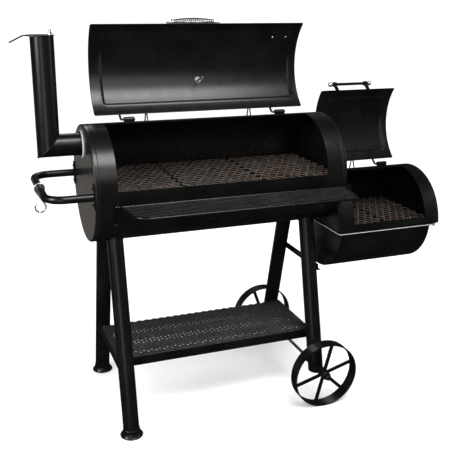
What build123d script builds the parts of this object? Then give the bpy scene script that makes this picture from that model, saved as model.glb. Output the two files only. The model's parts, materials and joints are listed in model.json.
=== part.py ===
from build123d import *
import math
import os

# Offset smoker: a horizontal cooking barrel on four splayed legs, with a lower
# firebox on its right end and a chimney on its left end. Sizes in millimetres.
# Everything is modelled around the barrel's axis: X from the barrel's left end,
# Y towards the back, Z up from the axis. At the end it is moved so that the
# origin is on the floor, at the middle of the object's footprint.

# ---------------------------------------------------------------- barrel
AXIS_HEIGHT = 860.0
BARREL_R = 203.0
BARREL_LENGTH = 918.0
WALL = 4.0
END_RING = 18.0
END_ROUND = 6.0
SEAM = 1.2
DOOR_X0 = 75.0
DOOR_X1 = 838.0
DOOR_REAR_ANGLE = 91.5
DOOR_FRONT_ANGLE = 176.2

# ---------------------------------------------------------------- main lid
LID_X0 = 57.0
LID_X1 = 852.0
LID_GAP = 1.0
LID_SHEET = 2.5
LID_REAR_ANGLE = 82.2
LID_FRONT_ANGLE = 178.4
LID_CORNER = 7.0
PANEL_BORDER = 36.0
PANEL_REAR_ANGLE = 93.2
PANEL_FRONT_ANGLE = 168.0
PANEL_DEPTH = 3.5
STEP_WIDTH = 3.0
HINGE_Y = 46.0
HINGE_Z = 206.1
LID_OPEN = 132.5
PIN_R = 4.0
PIN_CLEARANCE = 0.05
KNUCKLE_R = 8.6
LID_PIN_SPANS = ((147.0, 198.0), (723.0, 777.0))
LID_KNUCKLE_X = (158.0, 736.0)
LID_STOP_X = (246.0, 642.0)
STOP_WIRE_R = 2.5
STOP_BEND = 4.0
GRIP_X0 = 337.0
GRIP_X1 = 531.0
GRIP_ANGLE = 171.5
GRIP_STANDOFF = 32.5
COIL_X0 = 358.0
COIL_X1 = 510.0
GRIP_ROD_R = 4.0
GRIP_BEND = 9.0
WASHER = 2.5
WASHER_R = 10.5
COIL_WIRE_R = 2.3
COIL_TURNS = 19
COIL_END_R = 7.6
COIL_BULGE = 6.0
COIL_ROUNDNESS = 0.8
GAUGE_X = 455.0
GAUGE_ANGLE = 117.0
GAUGE_R = 36.0
GAUGE_DEPTH = 15.0
BADGE_X = 769.0
BADGE_ANGLE = 161.0
BADGE_HALF_X = 46.0
BADGE_HALF_HEIGHT = 18.0
BADGE_SHEET = 1.6
SCREW_X = 27.0
GAUGE_SCREW_X = 16.5
SCREW_R = 4.5
SCREW_HEIGHT = 3.0

# ---------------------------------------------------------------- firebox
FIREBOX_R = 201.0
FIREBOX_Z = -230.5
FIREBOX_X0 = 903.0
FIREBOX_X1 = 1342.0
FB_DOOR_X0 = 965.0
FB_DOOR_X1 = 1278.0
FB_DOOR_FRONT_ANGLE = 168.6
FB_LID_X0 = 951.0
FB_LID_X1 = 1283.0
FB_LID_REAR_ANGLE = 83.0
FB_LID_FRONT_ANGLE = 170.6
FB_PANEL_FRONT_ANGLE = 161.0
FB_GRIP_X0 = 1012.0
FB_GRIP_X1 = 1178.0
FB_GRIP_ANGLE = 169.1
FB_GRIP_STANDOFF = 37.0
FB_GRIP_R = 5.5
FB_KNOB_R = 9.5
BRACKET_INSET = 14.0
BRACKET_R = 6.5
BRACKET_EYE_R = 9.0
FB_PIN_X = (973.0, 1190.0)
FB_PIN_LENGTH = 54.0
FB_KNUCKLE_X = (984.0, 1201.0)
FB_STOP_X = 1101.0
FB_HINGE_Z = FIREBOX_Z + HINGE_Z - (BARREL_R - FIREBOX_R)
SEAT_Z = -217.5
TROUGH_R = 187.0
TROUGH_X0 = 920.0
TROUGH_X1 = 1312.0
LIP_HEIGHT = 7.0
LIP_BOLT_Y = 196.0
BOLT_LIFT = 0.2
LIP_OVERHANG = 6.0
VENT_Y = -70.0
VENT_Z = -145.0
VENT_HOLE_R = 38.0
VENT_ARM = 58.0
VENT_SHEET = 3.0
SLIDE_GAP = 0.4

# ---------------------------------------------------------------- chimney
PIPE_R = 38.0
PIPE_WALL = 3.0
FLUE_Y = 12.0
FLUE_Z = 136.0
STACK_X = -110.0
STACK_TOP = 493.0
DAMPER_R = 46.5
DAMPER_SHEET = 3.0
DAMPER_OFFSET = -7.0
DAMPER_PIVOT = 27.0

# ---------------------------------------------------------------- side handle and hook
HANDLE_Y = 185.0
HANDLE_Z = -2.0
HANDLE_REACH = 152.0
HANDLE_R = 13.0
HANDLE_BEND = 60.0
HANDLE_PLATE_HALF = 40.0
HANDLE_PLATE_WIDTH = 28.0
HANDLE_BOLT_Z = 27.0
HOOK_Y = -10.0
HOOK_WIRE_R = 3.0
HOOK_LOW_R = 18.0
HOOK_DROP = 66.0
HOOK_TOP_TAIL = 25.0
HOOK_LOW_WRAP = 219.0

# ---------------------------------------------------------------- grates
GRATE_TOP = 10.0
GRATE_SPLITS = (306.0, 597.0)
GRATE_HALF = 194.0
GRATE_RIB_HALF = 160.0
FB_GRATE_TOP = -209.0
FB_GRATE_HALF = 190.0
FB_GRATE_SPLIT = 1128.0
GRATE_STRAND = 3.8
GRATE_CELL = (29.6, 50.0)
FINE_STRAND = 3.0
FINE_CELL = (30.0, 18.0)
SHEET = 3.2
RIB = 8.0
RIB_HEIGHT = 6.0

# ---------------------------------------------------------------- front shelf
SHELF_Z = -36.0
SHELF_ROD_R = 4.5
SHELF_BACK_Y = -210.0
SHELF_FRONT_Y = -363.0
SHELF_BACK_X0 = 80.0
SHELF_BACK_X1 = 906.0
SHELF_FRONT_X0 = 98.0
SHELF_FRONT_X1 = 872.0
SHELF_LEFT_BEND = 58.0
SHELF_RIGHT_BEND = 18.0
SHELF_RIB_X = (290.0, 490.0, 690.0)
SHELF_PIVOT_REACH = 14.0
STRAP_TILT = 17.0
STRAP_TOP = 9.0
STRAP_LEFT_DROP = 78.0
STRAP_RIGHT_DROP = 52.0
STRAP_BOLT_RISE = 12.0

# ---------------------------------------------------------------- stand
LEG_R = 28.5
LEG_WALL = 3.0
LEG_X_LEFT = 82.0
LEG_X_RIGHT = 817.0
LEG_TOP_Y = 82.0
LEG_TOP_Z = -160.0
LEG_SPLAY = 0.245
FOOT_R = 40.0
FOOT_HEIGHT = 28.0
BRACE_Z = -362.0
BRACE_SHEET = 3.0
BRACE_HALF = 12.0
RACK_TOP = -619.0
RACK_HALF = 144.0
RACK_X0 = 63.0
RACK_X1 = 832.0
ANGLE_LEG = 32.0
ANGLE_SHEET = 4.0
WHEEL_R = 126.0
WHEEL_WIDTH = 44.0
WHEEL_FACE_Y = 312.5
RIM_SHEET = 4.0
HUB_R = 16.0
AXLE_R = 6.0
AXLE_CLEARANCE = 0.06
FLOOR = -AXIS_HEIGHT
AXLE_Z = FLOOR + WHEEL_R

PARTS = {}


def keep(name, shape):
    """Store one subcomponent."""
    PARTS[name] = shape


def polar(radius, angle, z_centre=0.0):
    """Point in the Y-Z plane; the angle runs from the back over the top."""
    a = math.radians(angle)
    return radius * math.cos(a), z_centre + radius * math.sin(a)


def block(x0, x1, y0, y1, z0, z1):
    size = Box(x1 - x0, y1 - y0, z1 - z0)
    return Pos((x0 + x1) / 2, (y0 + y1) / 2, (z0 + z1) / 2) * size


def bar_x(x0, x1, radius, y=0.0, z=0.0):
    """Solid round bar along X."""
    return extrude(Plane.YZ.offset(x0) * Pos(y, z) * Circle(radius), x1 - x0)


def bar_y(y0, y1, radius, x=0.0, z=0.0):
    """Solid round bar along Y."""
    middle = Pos(x, (y0 + y1) / 2, z)
    return middle * Rot(90, 0, 0) * Cylinder(radius, y1 - y0)


def bar_z(z0, z1, radius, x=0.0, y=0.0):
    """Solid round bar along Z."""
    return Pos(x, y, (z0 + z1) / 2) * Cylinder(radius, z1 - z0)


def sector(x0, x1, r_out, r_in, a0, a1, z_centre=0.0):
    """Part of a tube wall along X between two angles."""
    outer = CenterArc((0, 0), r_out, a0, a1 - a0)
    inner = CenterArc((0, 0), r_in, a0, a1 - a0)
    rim = [outer, Line(outer @ 1, inner @ 1), inner, Line(inner @ 0, outer @ 0)]
    face = make_face(rim)
    return extrude(Plane.YZ.offset(x0) * Pos(0, z_centre) * face, x1 - x0)


def bent_rod(points, radius, bend):
    """Round rod along a polyline with rounded bends."""
    path = FilletPolyline(*points, radius=bend)
    start = Plane(origin=path @ 0, z_dir=path % 0)
    return sweep(start * Circle(radius), path=path)


def straight_rod(start, end, radius):
    a = Vector(*start)
    b = Vector(*end)
    section = Plane(origin=a, z_dir=(b - a).normalized()) * Circle(radius)
    return extrude(section, (b - a).length)


def diamond_sheet(corners, z0, z1, cell, strand, margin):
    """Expanded-metal sheet: a convex outline with diamonds opened in it."""
    half_x = cell[0] / 2
    half_y = cell[1] / 2
    reach = half_x * half_y / math.hypot(half_x, half_y)
    shrink = 1 - strand / 2 / reach
    hole_x = half_x * shrink
    hole_y = half_y * shrink
    x_low = min(c[0] for c in corners)
    x_high = max(c[0] for c in corners)
    y_low = min(c[1] for c in corners)
    y_high = max(c[1] for c in corners)
    x_mid = (x_low + x_high) / 2
    y_mid = (y_low + y_high) / 2
    columns = int((x_high - x_low) / half_x) + 2
    rows = int((y_high - y_low) / half_y) + 2

    def inside(x, y):
        pairs = zip(corners, corners[1:] + corners[:1])
        for (ax, ay), (bx, by) in pairs:
            length = math.hypot(bx - ax, by - ay)
            side = ((bx - ax) * (y - ay) - (by - ay) * (x - ax)) / length
            if side < margin:
                return False
        return True

    holes = []
    for i in range(-columns, columns + 1):
        for j in range(-rows, rows + 1):
            if (i + j) % 2:
                continue
            cx = x_mid + i * half_x
            cy = y_mid + j * half_y
            tips = [(cx + hole_x, cy), (cx, cy + hole_y), (cx - hole_x, cy), (cx, cy - hole_y)]
            if all(inside(x, y) for x, y in tips):
                rim = Wire.make_polygon([(x, y, z0) for x, y in tips], close=True)
                holes.append(rim)
    outline = Wire.make_polygon([(x, y, z0) for x, y in corners], close=True)
    return extrude(Face(outline, holes), z1 - z0, dir=(0, 0, 1))


def rectangle(x0, x1, y0, y1):
    return [(x0, y0), (x1, y0), (x1, y1), (x0, y1)]


def round_bolt(centre, axis, head_r, head_h):
    """Low round bolt head standing on a surface."""
    section = Plane(origin=centre, z_dir=axis) * Circle(head_r)
    head = extrude(section, head_h)
    return chamfer(head.edges().sort_by(Axis(centre, axis))[-1], head_h * 0.35)


# ---------------------------------------------------------------- barrel and its ends
def barrel_body():
    return bar_x(0, BARREL_LENGTH, BARREL_R)


def make_barrel():
    tube = bar_x(END_RING, BARREL_LENGTH - END_RING, BARREL_R)
    tube = chamfer(tube.edges().filter_by(GeomType.CIRCLE), SEAM)
    tube -= bar_x(0, BARREL_LENGTH, BARREL_R - WALL)
    tube -= sector(DOOR_X0, DOOR_X1, BARREL_R + 9, BARREL_R - 9, DOOR_REAR_ANGLE, DOOR_FRONT_ANGLE)
    rest_z = GRATE_TOP - SHEET - 6
    inside = bar_x(END_RING + 6, BARREL_LENGTH - END_RING - 6, BARREL_R - WALL)
    for side in (-1, 1):
        y0, y1 = sorted((side * (BARREL_R - 26), side * BARREL_R))
        ledge = block(END_RING + 6, BARREL_LENGTH - END_RING - 6, y0, y1, rest_z - 4, rest_z)
        tube += ledge & inside
    return tube


def barrel_end(x_face, inward):
    """Dished end: a disc with a rounded rim and a short ring."""
    x0, x1 = sorted((x_face, x_face + inward * END_RING))
    cup = bar_x(x0, x1, BARREL_R)
    rims = cup.edges().filter_by(GeomType.CIRCLE).sort_by(Axis.X)
    cup = fillet(rims[0] if inward > 0 else rims[-1], END_ROUND)
    rims = cup.edges().filter_by(GeomType.CIRCLE).sort_by(Axis.X)
    cup = chamfer(rims[-1] if inward > 0 else rims[0], SEAM)
    c0, c1 = sorted((x_face + inward * WALL, x_face + inward * (END_RING + 1)))
    return cup - bar_x(c0, c1, BARREL_R - WALL)


def flue_window(x0, x1):
    """Lens-shaped smoke opening shared by the barrel and the firebox."""
    low = bar_x(x0, x1, BARREL_R - 16)
    high = bar_x(x0, x1, FIREBOX_R - 14, 0, FIREBOX_Z)
    return low & high


# ---------------------------------------------------------------- lids
def lid_sheet(x0, x1, radius, rear, front, z_centre, panel_rear, panel_front):
    """Curved lid with a border lip and a pressed-in panel, in the closed pose."""
    r_in = radius + LID_GAP
    r_out = r_in + LID_SHEET
    px0 = x0 + PANEL_BORDER
    px1 = x1 - PANEL_BORDER + 9
    step = math.degrees(STEP_WIDTH / radius)
    border = sector(x0, x1, r_out, r_in, rear, front, z_centre)
    corners = [e for e in border.edges().filter_by(GeomType.LINE) if e.length < LID_SHEET + 0.1]
    border = fillet(corners, LID_CORNER)
    border -= sector(px0, px1, r_out + 5, r_in - 5, panel_rear, panel_front, z_centre)
    ring = sector(px0, px1, r_out, r_in - PANEL_DEPTH, panel_rear, panel_front, z_centre)
    ix0 = px0 + STEP_WIDTH
    ix1 = px1 - STEP_WIDTH
    ring -= sector(ix0, ix1, r_out + 5, r_in - 9, panel_rear + step, panel_front - step, z_centre)
    panel = sector(px0, px1, r_out - PANEL_DEPTH, r_in - PANEL_DEPTH, panel_rear, panel_front, z_centre)
    return border + ring + panel


def lid_backing(x0, x1, radius, z_centre=0.0):
    """Solid up to the lid's outer face, used to trim what is welded onto it."""
    return bar_x(x0, x1, radius + LID_GAP + LID_SHEET, 0, z_centre)


def hinge_pin(x_bend, x_tip, z_centre, hinge_z, radius):
    """L-shaped pin: a strap on the lid's back edge that bends into the knuckle."""
    y0, z0 = polar(radius + LID_GAP + LID_SHEET + 3.4, 94, z_centre)
    y1, z1 = polar(radius + LID_GAP + LID_SHEET + 4.4, 83, z_centre)
    points = [(x_bend, y0, z0), (x_bend, y1, z1), (x_bend, HINGE_Y, hinge_z), (x_tip, HINGE_Y, hinge_z)]
    pin = bent_rod(points, PIN_R, 5.0)
    return pin - lid_backing(x_bend - 20, x_bend + 6, radius, z_centre)


def knuckle(x0, x1, hinge_z, body_radius, body_z):
    tube = bar_x(x0, x1, KNUCKLE_R, HINGE_Y, hinge_z)
    tube -= bar_x(x0 - 1, x1 + 1, PIN_R + PIN_CLEARANCE, HINGE_Y, hinge_z)
    return tube - bar_x(x0 - 1, x1 + 1, body_radius, 0, body_z)


def lid_stop(x, body_radius, body_z, drop):
    """Hairpin rod on the barrel's back; the open lid leans on its bend."""
    apex = (x, 77.3, 241.7 + drop)
    front = (x + 1.5, 58.0, 190.0 + drop)
    back = (x - 1.5, 92.0, 175.0 + drop)
    prop = bent_rod([front, apex, back], STOP_WIRE_R, STOP_BEND)
    return prop - bar_x(x - 20, x + 20, body_radius, 0, body_z)


def open_lid(shape, hinge_z):
    return shape.rotate(Axis((0, HINGE_Y, hinge_z), (1, 0, 0)), -LID_OPEN)


def make_lid():
    r_out = BARREL_R + LID_GAP + LID_SHEET
    sheet = lid_sheet(
        LID_X0, LID_X1, BARREL_R, LID_REAR_ANGLE, LID_FRONT_ANGLE, 0, PANEL_REAR_ANGLE, PANEL_FRONT_ANGLE
    )
    parts = {"lid_shell": sheet}
    # Coil grip on a bent rod, close to the free edge.
    foot_y, foot_z = polar(r_out - 1, GRIP_ANGLE)
    top_y, top_z = polar(r_out + GRIP_STANDOFF, GRIP_ANGLE)
    corners = [
        (GRIP_X0, foot_y, foot_z), (GRIP_X0, top_y, top_z),
        (GRIP_X1, top_y, top_z), (GRIP_X1, foot_y, foot_z),
    ]
    rod = bent_rod(corners, GRIP_ROD_R, GRIP_BEND)
    for x in (COIL_X0 - WASHER, COIL_X1):
        rod += bar_x(x, x + WASHER, WASHER_R, top_y, top_z)
    parts["lid_handle_rod"] = rod - lid_backing(GRIP_X0 - GRIP_BEND, GRIP_X1 + GRIP_BEND, BARREL_R)
    parts["lid_handle_coil"] = coil_grip(COIL_X0, COIL_X1, top_y, top_z)
    parts["lid_gauge"] = gauge(GAUGE_X, GAUGE_ANGLE, r_out)
    parts["lid_badge"] = badge(BADGE_X, BADGE_ANGLE, r_out)
    parts["lid_screws"] = lid_screws()
    pins = [hinge_pin(x0, x1, 0, HINGE_Z, BARREL_R) for x0, x1 in LID_PIN_SPANS]
    parts["lid_hinge_pins"] = Compound(pins)
    parts["lid_shell"] -= parts["lid_gauge"]
    for name, shape in parts.items():
        keep(name, open_lid(shape, HINGE_Z))


def coil_grip(x0, x1, y, z):
    """Barrel-shaped coil of round wire."""
    wire = COIL_WIRE_R
    steps = 8
    end_gap = wire + 0.5
    lead = (x1 - x0 - 2 * end_gap) / COIL_TURNS
    points = []
    for i in range(COIL_TURNS * steps + 1):
        t = i / (COIL_TURNS * steps)
        radius = COIL_END_R + COIL_BULGE * math.sin(math.pi * t) ** COIL_ROUNDNESS
        a = 2 * math.pi * i / steps
        x = x0 + end_gap + lead * i / steps
        points.append((x, y + radius * math.cos(a), z + radius * math.sin(a)))
    path = Spline(*points)
    start = Plane(origin=path @ 0, z_dir=path % 0)
    return sweep(start * Circle(wire), path=path, is_frenet=True)


def gauge(x, angle, r_face):
    """Temperature gauge: dial outside, nut and stem inside the lid."""
    y, z = polar(1, angle)
    out = Vector(0, y, z)
    base = Vector(x, 0, 0) + out * r_face
    dial = extrude(Plane(origin=base + out * 4, z_dir=out) * Circle(GAUGE_R), GAUGE_DEPTH)
    dial = chamfer(dial.faces().sort_by(Axis(base, out))[-1].edges(), 2.5)
    neck = extrude(Plane(origin=base - out * PANEL_DEPTH, z_dir=out) * Circle(9), PANEL_DEPTH + 5)
    inner = Vector(x, 0, 0) + out * (BARREL_R + LID_GAP - PANEL_DEPTH)
    nut = extrude(Plane(origin=inner, z_dir=-out) * RegularPolygon(11, 6), 7)
    stem = extrude(Plane(origin=base + out * 4, z_dir=-out) * Circle(3), 62)
    return dial + neck + nut + stem


def badge(x, angle, r_face):
    """Blank plate on the lid's outer face."""
    half = math.degrees(BADGE_HALF_HEIGHT / r_face)
    x0 = x - BADGE_HALF_X
    x1 = x + BADGE_HALF_X
    seat = r_face - PANEL_DEPTH
    return sector(x0, x1, seat + BADGE_SHEET, seat, angle - half, angle + half)


def lid_screws():
    """Screw heads on the lid's inner face, at the badge's ends and beside the gauge."""
    heads = []
    spots = (
        (BADGE_X - SCREW_X, BADGE_ANGLE), (BADGE_X + SCREW_X, BADGE_ANGLE),
        (GAUGE_X + GAUGE_SCREW_X, GAUGE_ANGLE + 1),
    )
    for x, angle in spots:
        y, z = polar(1, angle)
        out = Vector(0, y, z)
        inner = Vector(x, 0, 0) + out * (BARREL_R + LID_GAP - PANEL_DEPTH - BOLT_LIFT)
        heads.append(round_bolt(inner, -out, SCREW_R, SCREW_HEIGHT))
    return Compound([h.solids()[0] for h in heads])


def make_firebox_lid():
    r_out = FIREBOX_R + LID_GAP + LID_SHEET
    sheet = lid_sheet(
        FB_LID_X0, FB_LID_X1, FIREBOX_R, FB_LID_REAR_ANGLE, FB_LID_FRONT_ANGLE,
        FIREBOX_Z, PANEL_REAR_ANGLE, FB_PANEL_FRONT_ANGLE,
    )
    parts = {"firebox_lid_shell": sheet}
    grip_y, grip_z = polar(r_out + FB_GRIP_STANDOFF, FB_GRIP_ANGLE, FIREBOX_Z)
    grip = bar_x(FB_GRIP_X0, FB_GRIP_X1, FB_GRIP_R, grip_y, grip_z)
    parts["firebox_handle_bar"] = grip
    knobs = []
    for x in (FB_GRIP_X0 - 4, FB_GRIP_X1 + 4):
        ball = Pos(x, grip_y, grip_z) * Rot(0, 90, 0) * Sphere(FB_KNOB_R)
        knobs.append((ball - grip).solids()[0])
    parts["firebox_handle_knobs"] = Compound(knobs)
    brackets = []
    foot_y, foot_z = polar(r_out - 4, FB_GRIP_ANGLE, FIREBOX_Z)
    for x in (FB_GRIP_X0 + BRACKET_INSET, FB_GRIP_X1 - BRACKET_INSET):
        bracket = straight_rod((x, foot_y, foot_z), (x, grip_y, grip_z), BRACKET_R)
        bracket += bar_x(x - BRACKET_R, x + BRACKET_R, BRACKET_EYE_R, grip_y, grip_z)
        bracket -= grip
        bracket -= lid_backing(x - 20, x + 20, FIREBOX_R, FIREBOX_Z)
        brackets.append(bracket.solids()[0])
    parts["firebox_handle_brackets"] = Compound(brackets)
    pins = [hinge_pin(x, x + FB_PIN_LENGTH, FIREBOX_Z, FB_HINGE_Z, FIREBOX_R) for x in FB_PIN_X]
    parts["firebox_lid_pins"] = Compound(pins)
    bolts = []
    for x, angle in ((1060, 150.5), (1180, 150.5), (1122, 97.5)):
        y, z = polar(1, angle)
        out = Vector(0, y, z)
        origin = Vector(x, 0, FIREBOX_Z)
        inner = origin + out * (FIREBOX_R + LID_GAP - PANEL_DEPTH - BOLT_LIFT)
        outer = origin + out * (r_out - PANEL_DEPTH + BOLT_LIFT)
        head = round_bolt(outer, out, 7.0, 4.0)
        nut = round_bolt(inner, -out, 6.0, 4.0)
        bolts += [head, nut]
    parts["firebox_lid_bolts"] = Compound([b.solids()[0] for b in bolts])
    for name, shape in parts.items():
        keep(name, open_lid(shape, FB_HINGE_Z))


# ---------------------------------------------------------------- firebox
def make_firebox():
    seat_angle = math.degrees(math.asin((SEAT_Z - FIREBOX_Z) / FIREBOX_R))
    left = FIREBOX_X0
    right = FIREBOX_X1 - END_RING
    body = bar_x(left, right, FIREBOX_R, 0, FIREBOX_Z)
    body -= bar_x(left + WALL, right + 1, FIREBOX_R - WALL, 0, FIREBOX_Z)
    below = block(left - 5, FIREBOX_X1 + 5, -300, 300, -600, SEAT_Z)
    body -= below
    body -= barrel_body()
    body -= sector(
        FB_DOOR_X0, FB_DOOR_X1, FIREBOX_R + 9, FIREBOX_R - 9, DOOR_REAR_ANGLE, FB_DOOR_FRONT_ANGLE, FIREBOX_Z
    )
    keep("firebox_shell", body)
    cup = bar_x(right, FIREBOX_X1, FIREBOX_R, 0, FIREBOX_Z)
    cup = fillet(cup.edges().filter_by(GeomType.CIRCLE).sort_by(Axis.X)[-1], END_ROUND)
    cup -= bar_x(right - 1, FIREBOX_X1 - WALL, FIREBOX_R - WALL, 0, FIREBOX_Z)
    cup -= below
    cup -= bar_x(FIREBOX_X1 - 9, FIREBOX_X1 + 9, VENT_HOLE_R, VENT_Y, VENT_Z)
    keep("firebox_end", cup)
    trough = bar_x(TROUGH_X0, TROUGH_X1, TROUGH_R, 0, SEAT_Z)
    trough = fillet(trough.edges().filter_by(GeomType.CIRCLE), END_ROUND)
    trough -= bar_x(TROUGH_X0 + WALL, TROUGH_X1 - WALL, TROUGH_R - WALL, 0, SEAT_Z)
    top = SEAT_Z - LIP_HEIGHT
    trough -= block(left - 50, FIREBOX_X1 + 50, -300, 300, top, 300)
    keep("firebox_trough", trough)
    y_out = FIREBOX_R + LIP_OVERHANG
    lip = block(left - 5, FIREBOX_X1 - 2, -y_out, y_out, top, SEAT_Z)
    uprights = lip.edges().filter_by(Axis.Z).sort_by(Axis.X)
    lip = fillet(uprights[:2], 8)
    uprights = lip.edges().filter_by(Axis.Z).sort_by(Axis.X)
    lip = fillet(uprights[-2:], 34)
    y_in = TROUGH_R - 6
    lip -= block(TROUGH_X0 + 8, TROUGH_X1 - 8, -y_in, y_in, top - 1, SEAT_Z + 1)
    lip -= barrel_body()
    keep("firebox_lip", lip)


def make_vent():
    """Air inlet flap on the firebox's right end, hanging from one bolt."""
    x0 = FIREBOX_X1 + SLIDE_GAP
    x1 = x0 + VENT_SHEET
    pivot_z = VENT_Z + VENT_ARM
    plate = bar_x(x0, x1, VENT_HOLE_R + 8, VENT_Y, VENT_Z)
    plate += bar_x(x0, x1, 13, VENT_Y, pivot_z)
    plate += block(x0, x1, VENT_Y - 13, VENT_Y + 13, VENT_Z, pivot_z)
    knob_z = VENT_Z - 22
    plate += bar_x(x1, x1 + 6, 5, VENT_Y, knob_z)
    plate += Pos(x1 + 10, VENT_Y, knob_z) * Sphere(8)
    plate -= bar_x(x0 - 1, x1 + 1, 5 + PIN_CLEARANCE, VENT_Y, pivot_z)
    keep("vent_flap", plate)
    head = x1 + SLIDE_GAP
    bolt = bar_x(FIREBOX_X1, head, 5, VENT_Y, pivot_z)
    bolt += bar_x(head, head + 5, 9, VENT_Y, pivot_z)
    keep("vent_bolt", bolt)


# ---------------------------------------------------------------- chimney
def make_chimney():
    flue = bar_x(STACK_X - 60, 0, PIPE_R, FLUE_Y, FLUE_Z)
    stack = bar_z(FLUE_Z - 60, STACK_TOP, PIPE_R, STACK_X, FLUE_Y)
    flue_bore = bar_x(STACK_X - 60, 1, PIPE_R - PIPE_WALL, FLUE_Y, FLUE_Z)
    stack_bore = bar_z(FLUE_Z - 60, STACK_TOP + 1, PIPE_R - PIPE_WALL, STACK_X, FLUE_Y)
    # The 45 degree cutting plane through the corner of the elbow.
    corner = Pos(STACK_X, FLUE_Y, FLUE_Z) * Rot(0, 45, 0)
    stack_side = corner * Pos(-300, 0, 0) * Box(600, 200, 1200)
    flue_side = corner * Pos(300, 0, 0) * Box(600, 200, 1200)
    flue = flue - flue_bore - stack_side
    stack = stack - stack_bore - flue_side
    pivot_x = STACK_X + DAMPER_PIVOT
    lug = block(pivot_x - 8, STACK_X + PIPE_R, FLUE_Y - 8, FLUE_Y + 8, STACK_TOP - 12, STACK_TOP)
    stack += lug & bar_z(STACK_TOP - 12, STACK_TOP, PIPE_R, STACK_X, FLUE_Y)
    stack -= bar_z(STACK_TOP - 20, STACK_TOP + 1, 4, pivot_x, FLUE_Y)
    keep("stack_pipe", stack)
    keep("flue_pipe", flue)
    collar = bar_x(-4, 0, PIPE_R + 9, FLUE_Y, FLUE_Z) - bar_x(-5, 1, PIPE_R, FLUE_Y, FLUE_Z)
    keep("flue_collar", collar)
    z0 = STACK_TOP + SLIDE_GAP
    disc_x = STACK_X + DAMPER_OFFSET
    plate = bar_z(z0, z0 + DAMPER_SHEET, DAMPER_R, disc_x, FLUE_Y)
    tab_x = disc_x - DAMPER_R
    plate += block(tab_x - 6, tab_x + 12, FLUE_Y - 9, FLUE_Y + 9, z0, z0 + DAMPER_SHEET)
    tongue = block(-48, 0, -9, 9, 0, DAMPER_SHEET)
    plate += Pos(tab_x - 5, FLUE_Y, z0) * Rot(0, -26, 0) * tongue
    plate -= bar_z(z0 - 1, z0 + 5, 4 + PIN_CLEARANCE, pivot_x, FLUE_Y)
    keep("damper_plate", plate)
    top = z0 + DAMPER_SHEET + SLIDE_GAP
    bolt = bar_z(STACK_TOP - 18, top + 13, 4, pivot_x, FLUE_Y)
    bolt += bar_z(top, top + 8, 7, pivot_x, FLUE_Y)
    for side in (-1, 1):
        wing = Pos(pivot_x, FLUE_Y + side * 10, top + 9) * Rot(side * 35, 0, 0) * Box(3, 14, 9)
        bolt += wing
    keep("damper_bolt", bolt)


# ---------------------------------------------------------------- side handle and hook
def make_side_handle():
    reach = -HANDLE_REACH
    path = [
        (-WALL, HANDLE_Y, HANDLE_Z), (reach, HANDLE_Y, HANDLE_Z),
        (reach, -HANDLE_Y, HANDLE_Z), (-WALL, -HANDLE_Y, HANDLE_Z),
    ]
    grip = bent_rod(path, HANDLE_R, HANDLE_BEND)
    flat_face = bar_x(-WALL, 0, BARREL_R - END_ROUND)
    for side in (-1, 1):
        y = side * (HANDLE_Y - 1)
        low = HANDLE_Z - HANDLE_PLATE_HALF
        high = HANDLE_Z + HANDLE_PLATE_HALF
        plate = block(-WALL, 0, y - HANDLE_PLATE_WIDTH / 2, y + HANDLE_PLATE_WIDTH / 2, low, high)
        grip += plate & flat_face
    keep("side_handle", grip)


def make_hook():
    """S-hook hanging on the handle's cross tube."""
    r_top = HANDLE_R + HOOK_WIRE_R + PIN_CLEARANCE
    lean = math.degrees(math.asin((r_top + HOOK_LOW_R) / HOOK_DROP))
    plane = Plane(origin=(-HANDLE_REACH, HOOK_Y, HANDLE_Z), x_dir=(1, 0, 0), z_dir=(0, -1, 0))
    # The straight shank is the inner tangent of the two bends.
    top_bend = CenterArc((0, 0), r_top, -HOOK_TOP_TAIL, 180 + lean + HOOK_TOP_TAIL)
    low_bend = CenterArc((0, -HOOK_DROP), HOOK_LOW_R, lean, -HOOK_LOW_WRAP - lean)
    shank = Line(top_bend @ 1, low_bend @ 0)
    path = plane * Wire([top_bend.edge(), shank.edge(), low_bend.edge()])
    start = Plane(origin=path @ 0, z_dir=path % 0)
    hook = sweep(start * Circle(HOOK_WIRE_R), path=path)
    keep("s_hook", hook)


# ---------------------------------------------------------------- grates
def make_grates():
    z1 = GRATE_TOP
    z0 = z1 - SHEET
    edges = (END_RING + 8,) + GRATE_SPLITS + (BARREL_LENGTH - END_RING - 4,)
    names = ("grate_left", "grate_middle", "grate_right")
    for name, left, right in zip(names, edges[:-1], edges[1:]):
        x0 = left + 1.5
        x1 = right - 1.5
        outline = rectangle(x0, x1, -GRATE_HALF, GRATE_HALF)
        grate = diamond_sheet(outline, z0, z1, GRATE_CELL, GRATE_STRAND, 3)
        for y in (-GRATE_HALF, GRATE_HALF - RIB):
            grate += block(x0, x1, y, y + RIB, z0 - RIB_HEIGHT, z0)
        for x in (x0, x1 - RIB, (x0 + x1 - RIB) / 2):
            grate += block(x, x + RIB, -GRATE_RIB_HALF, GRATE_RIB_HALF, z0 - RIB_HEIGHT, z0)
        keep(name, grate)
    z1 = FB_GRATE_TOP
    z0 = z1 - SHEET
    spans = ((FIREBOX_X0 + 19, FB_GRATE_SPLIT), (FB_GRATE_SPLIT, FIREBOX_X1 - 10))
    for name, (left, right) in zip(("firebox_grate_left", "firebox_grate_right"), spans):
        x0 = left + 1.5
        x1 = right - 1.5
        half = FB_GRATE_HALF
        grate = diamond_sheet(rectangle(x0, x1, -half, half), z0, z1, GRATE_CELL, GRATE_STRAND, 3)
        for y in (-half, half - RIB):
            grate += block(x0, x1, y, y + RIB, SEAT_Z, z0)
        keep(name, grate)


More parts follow.
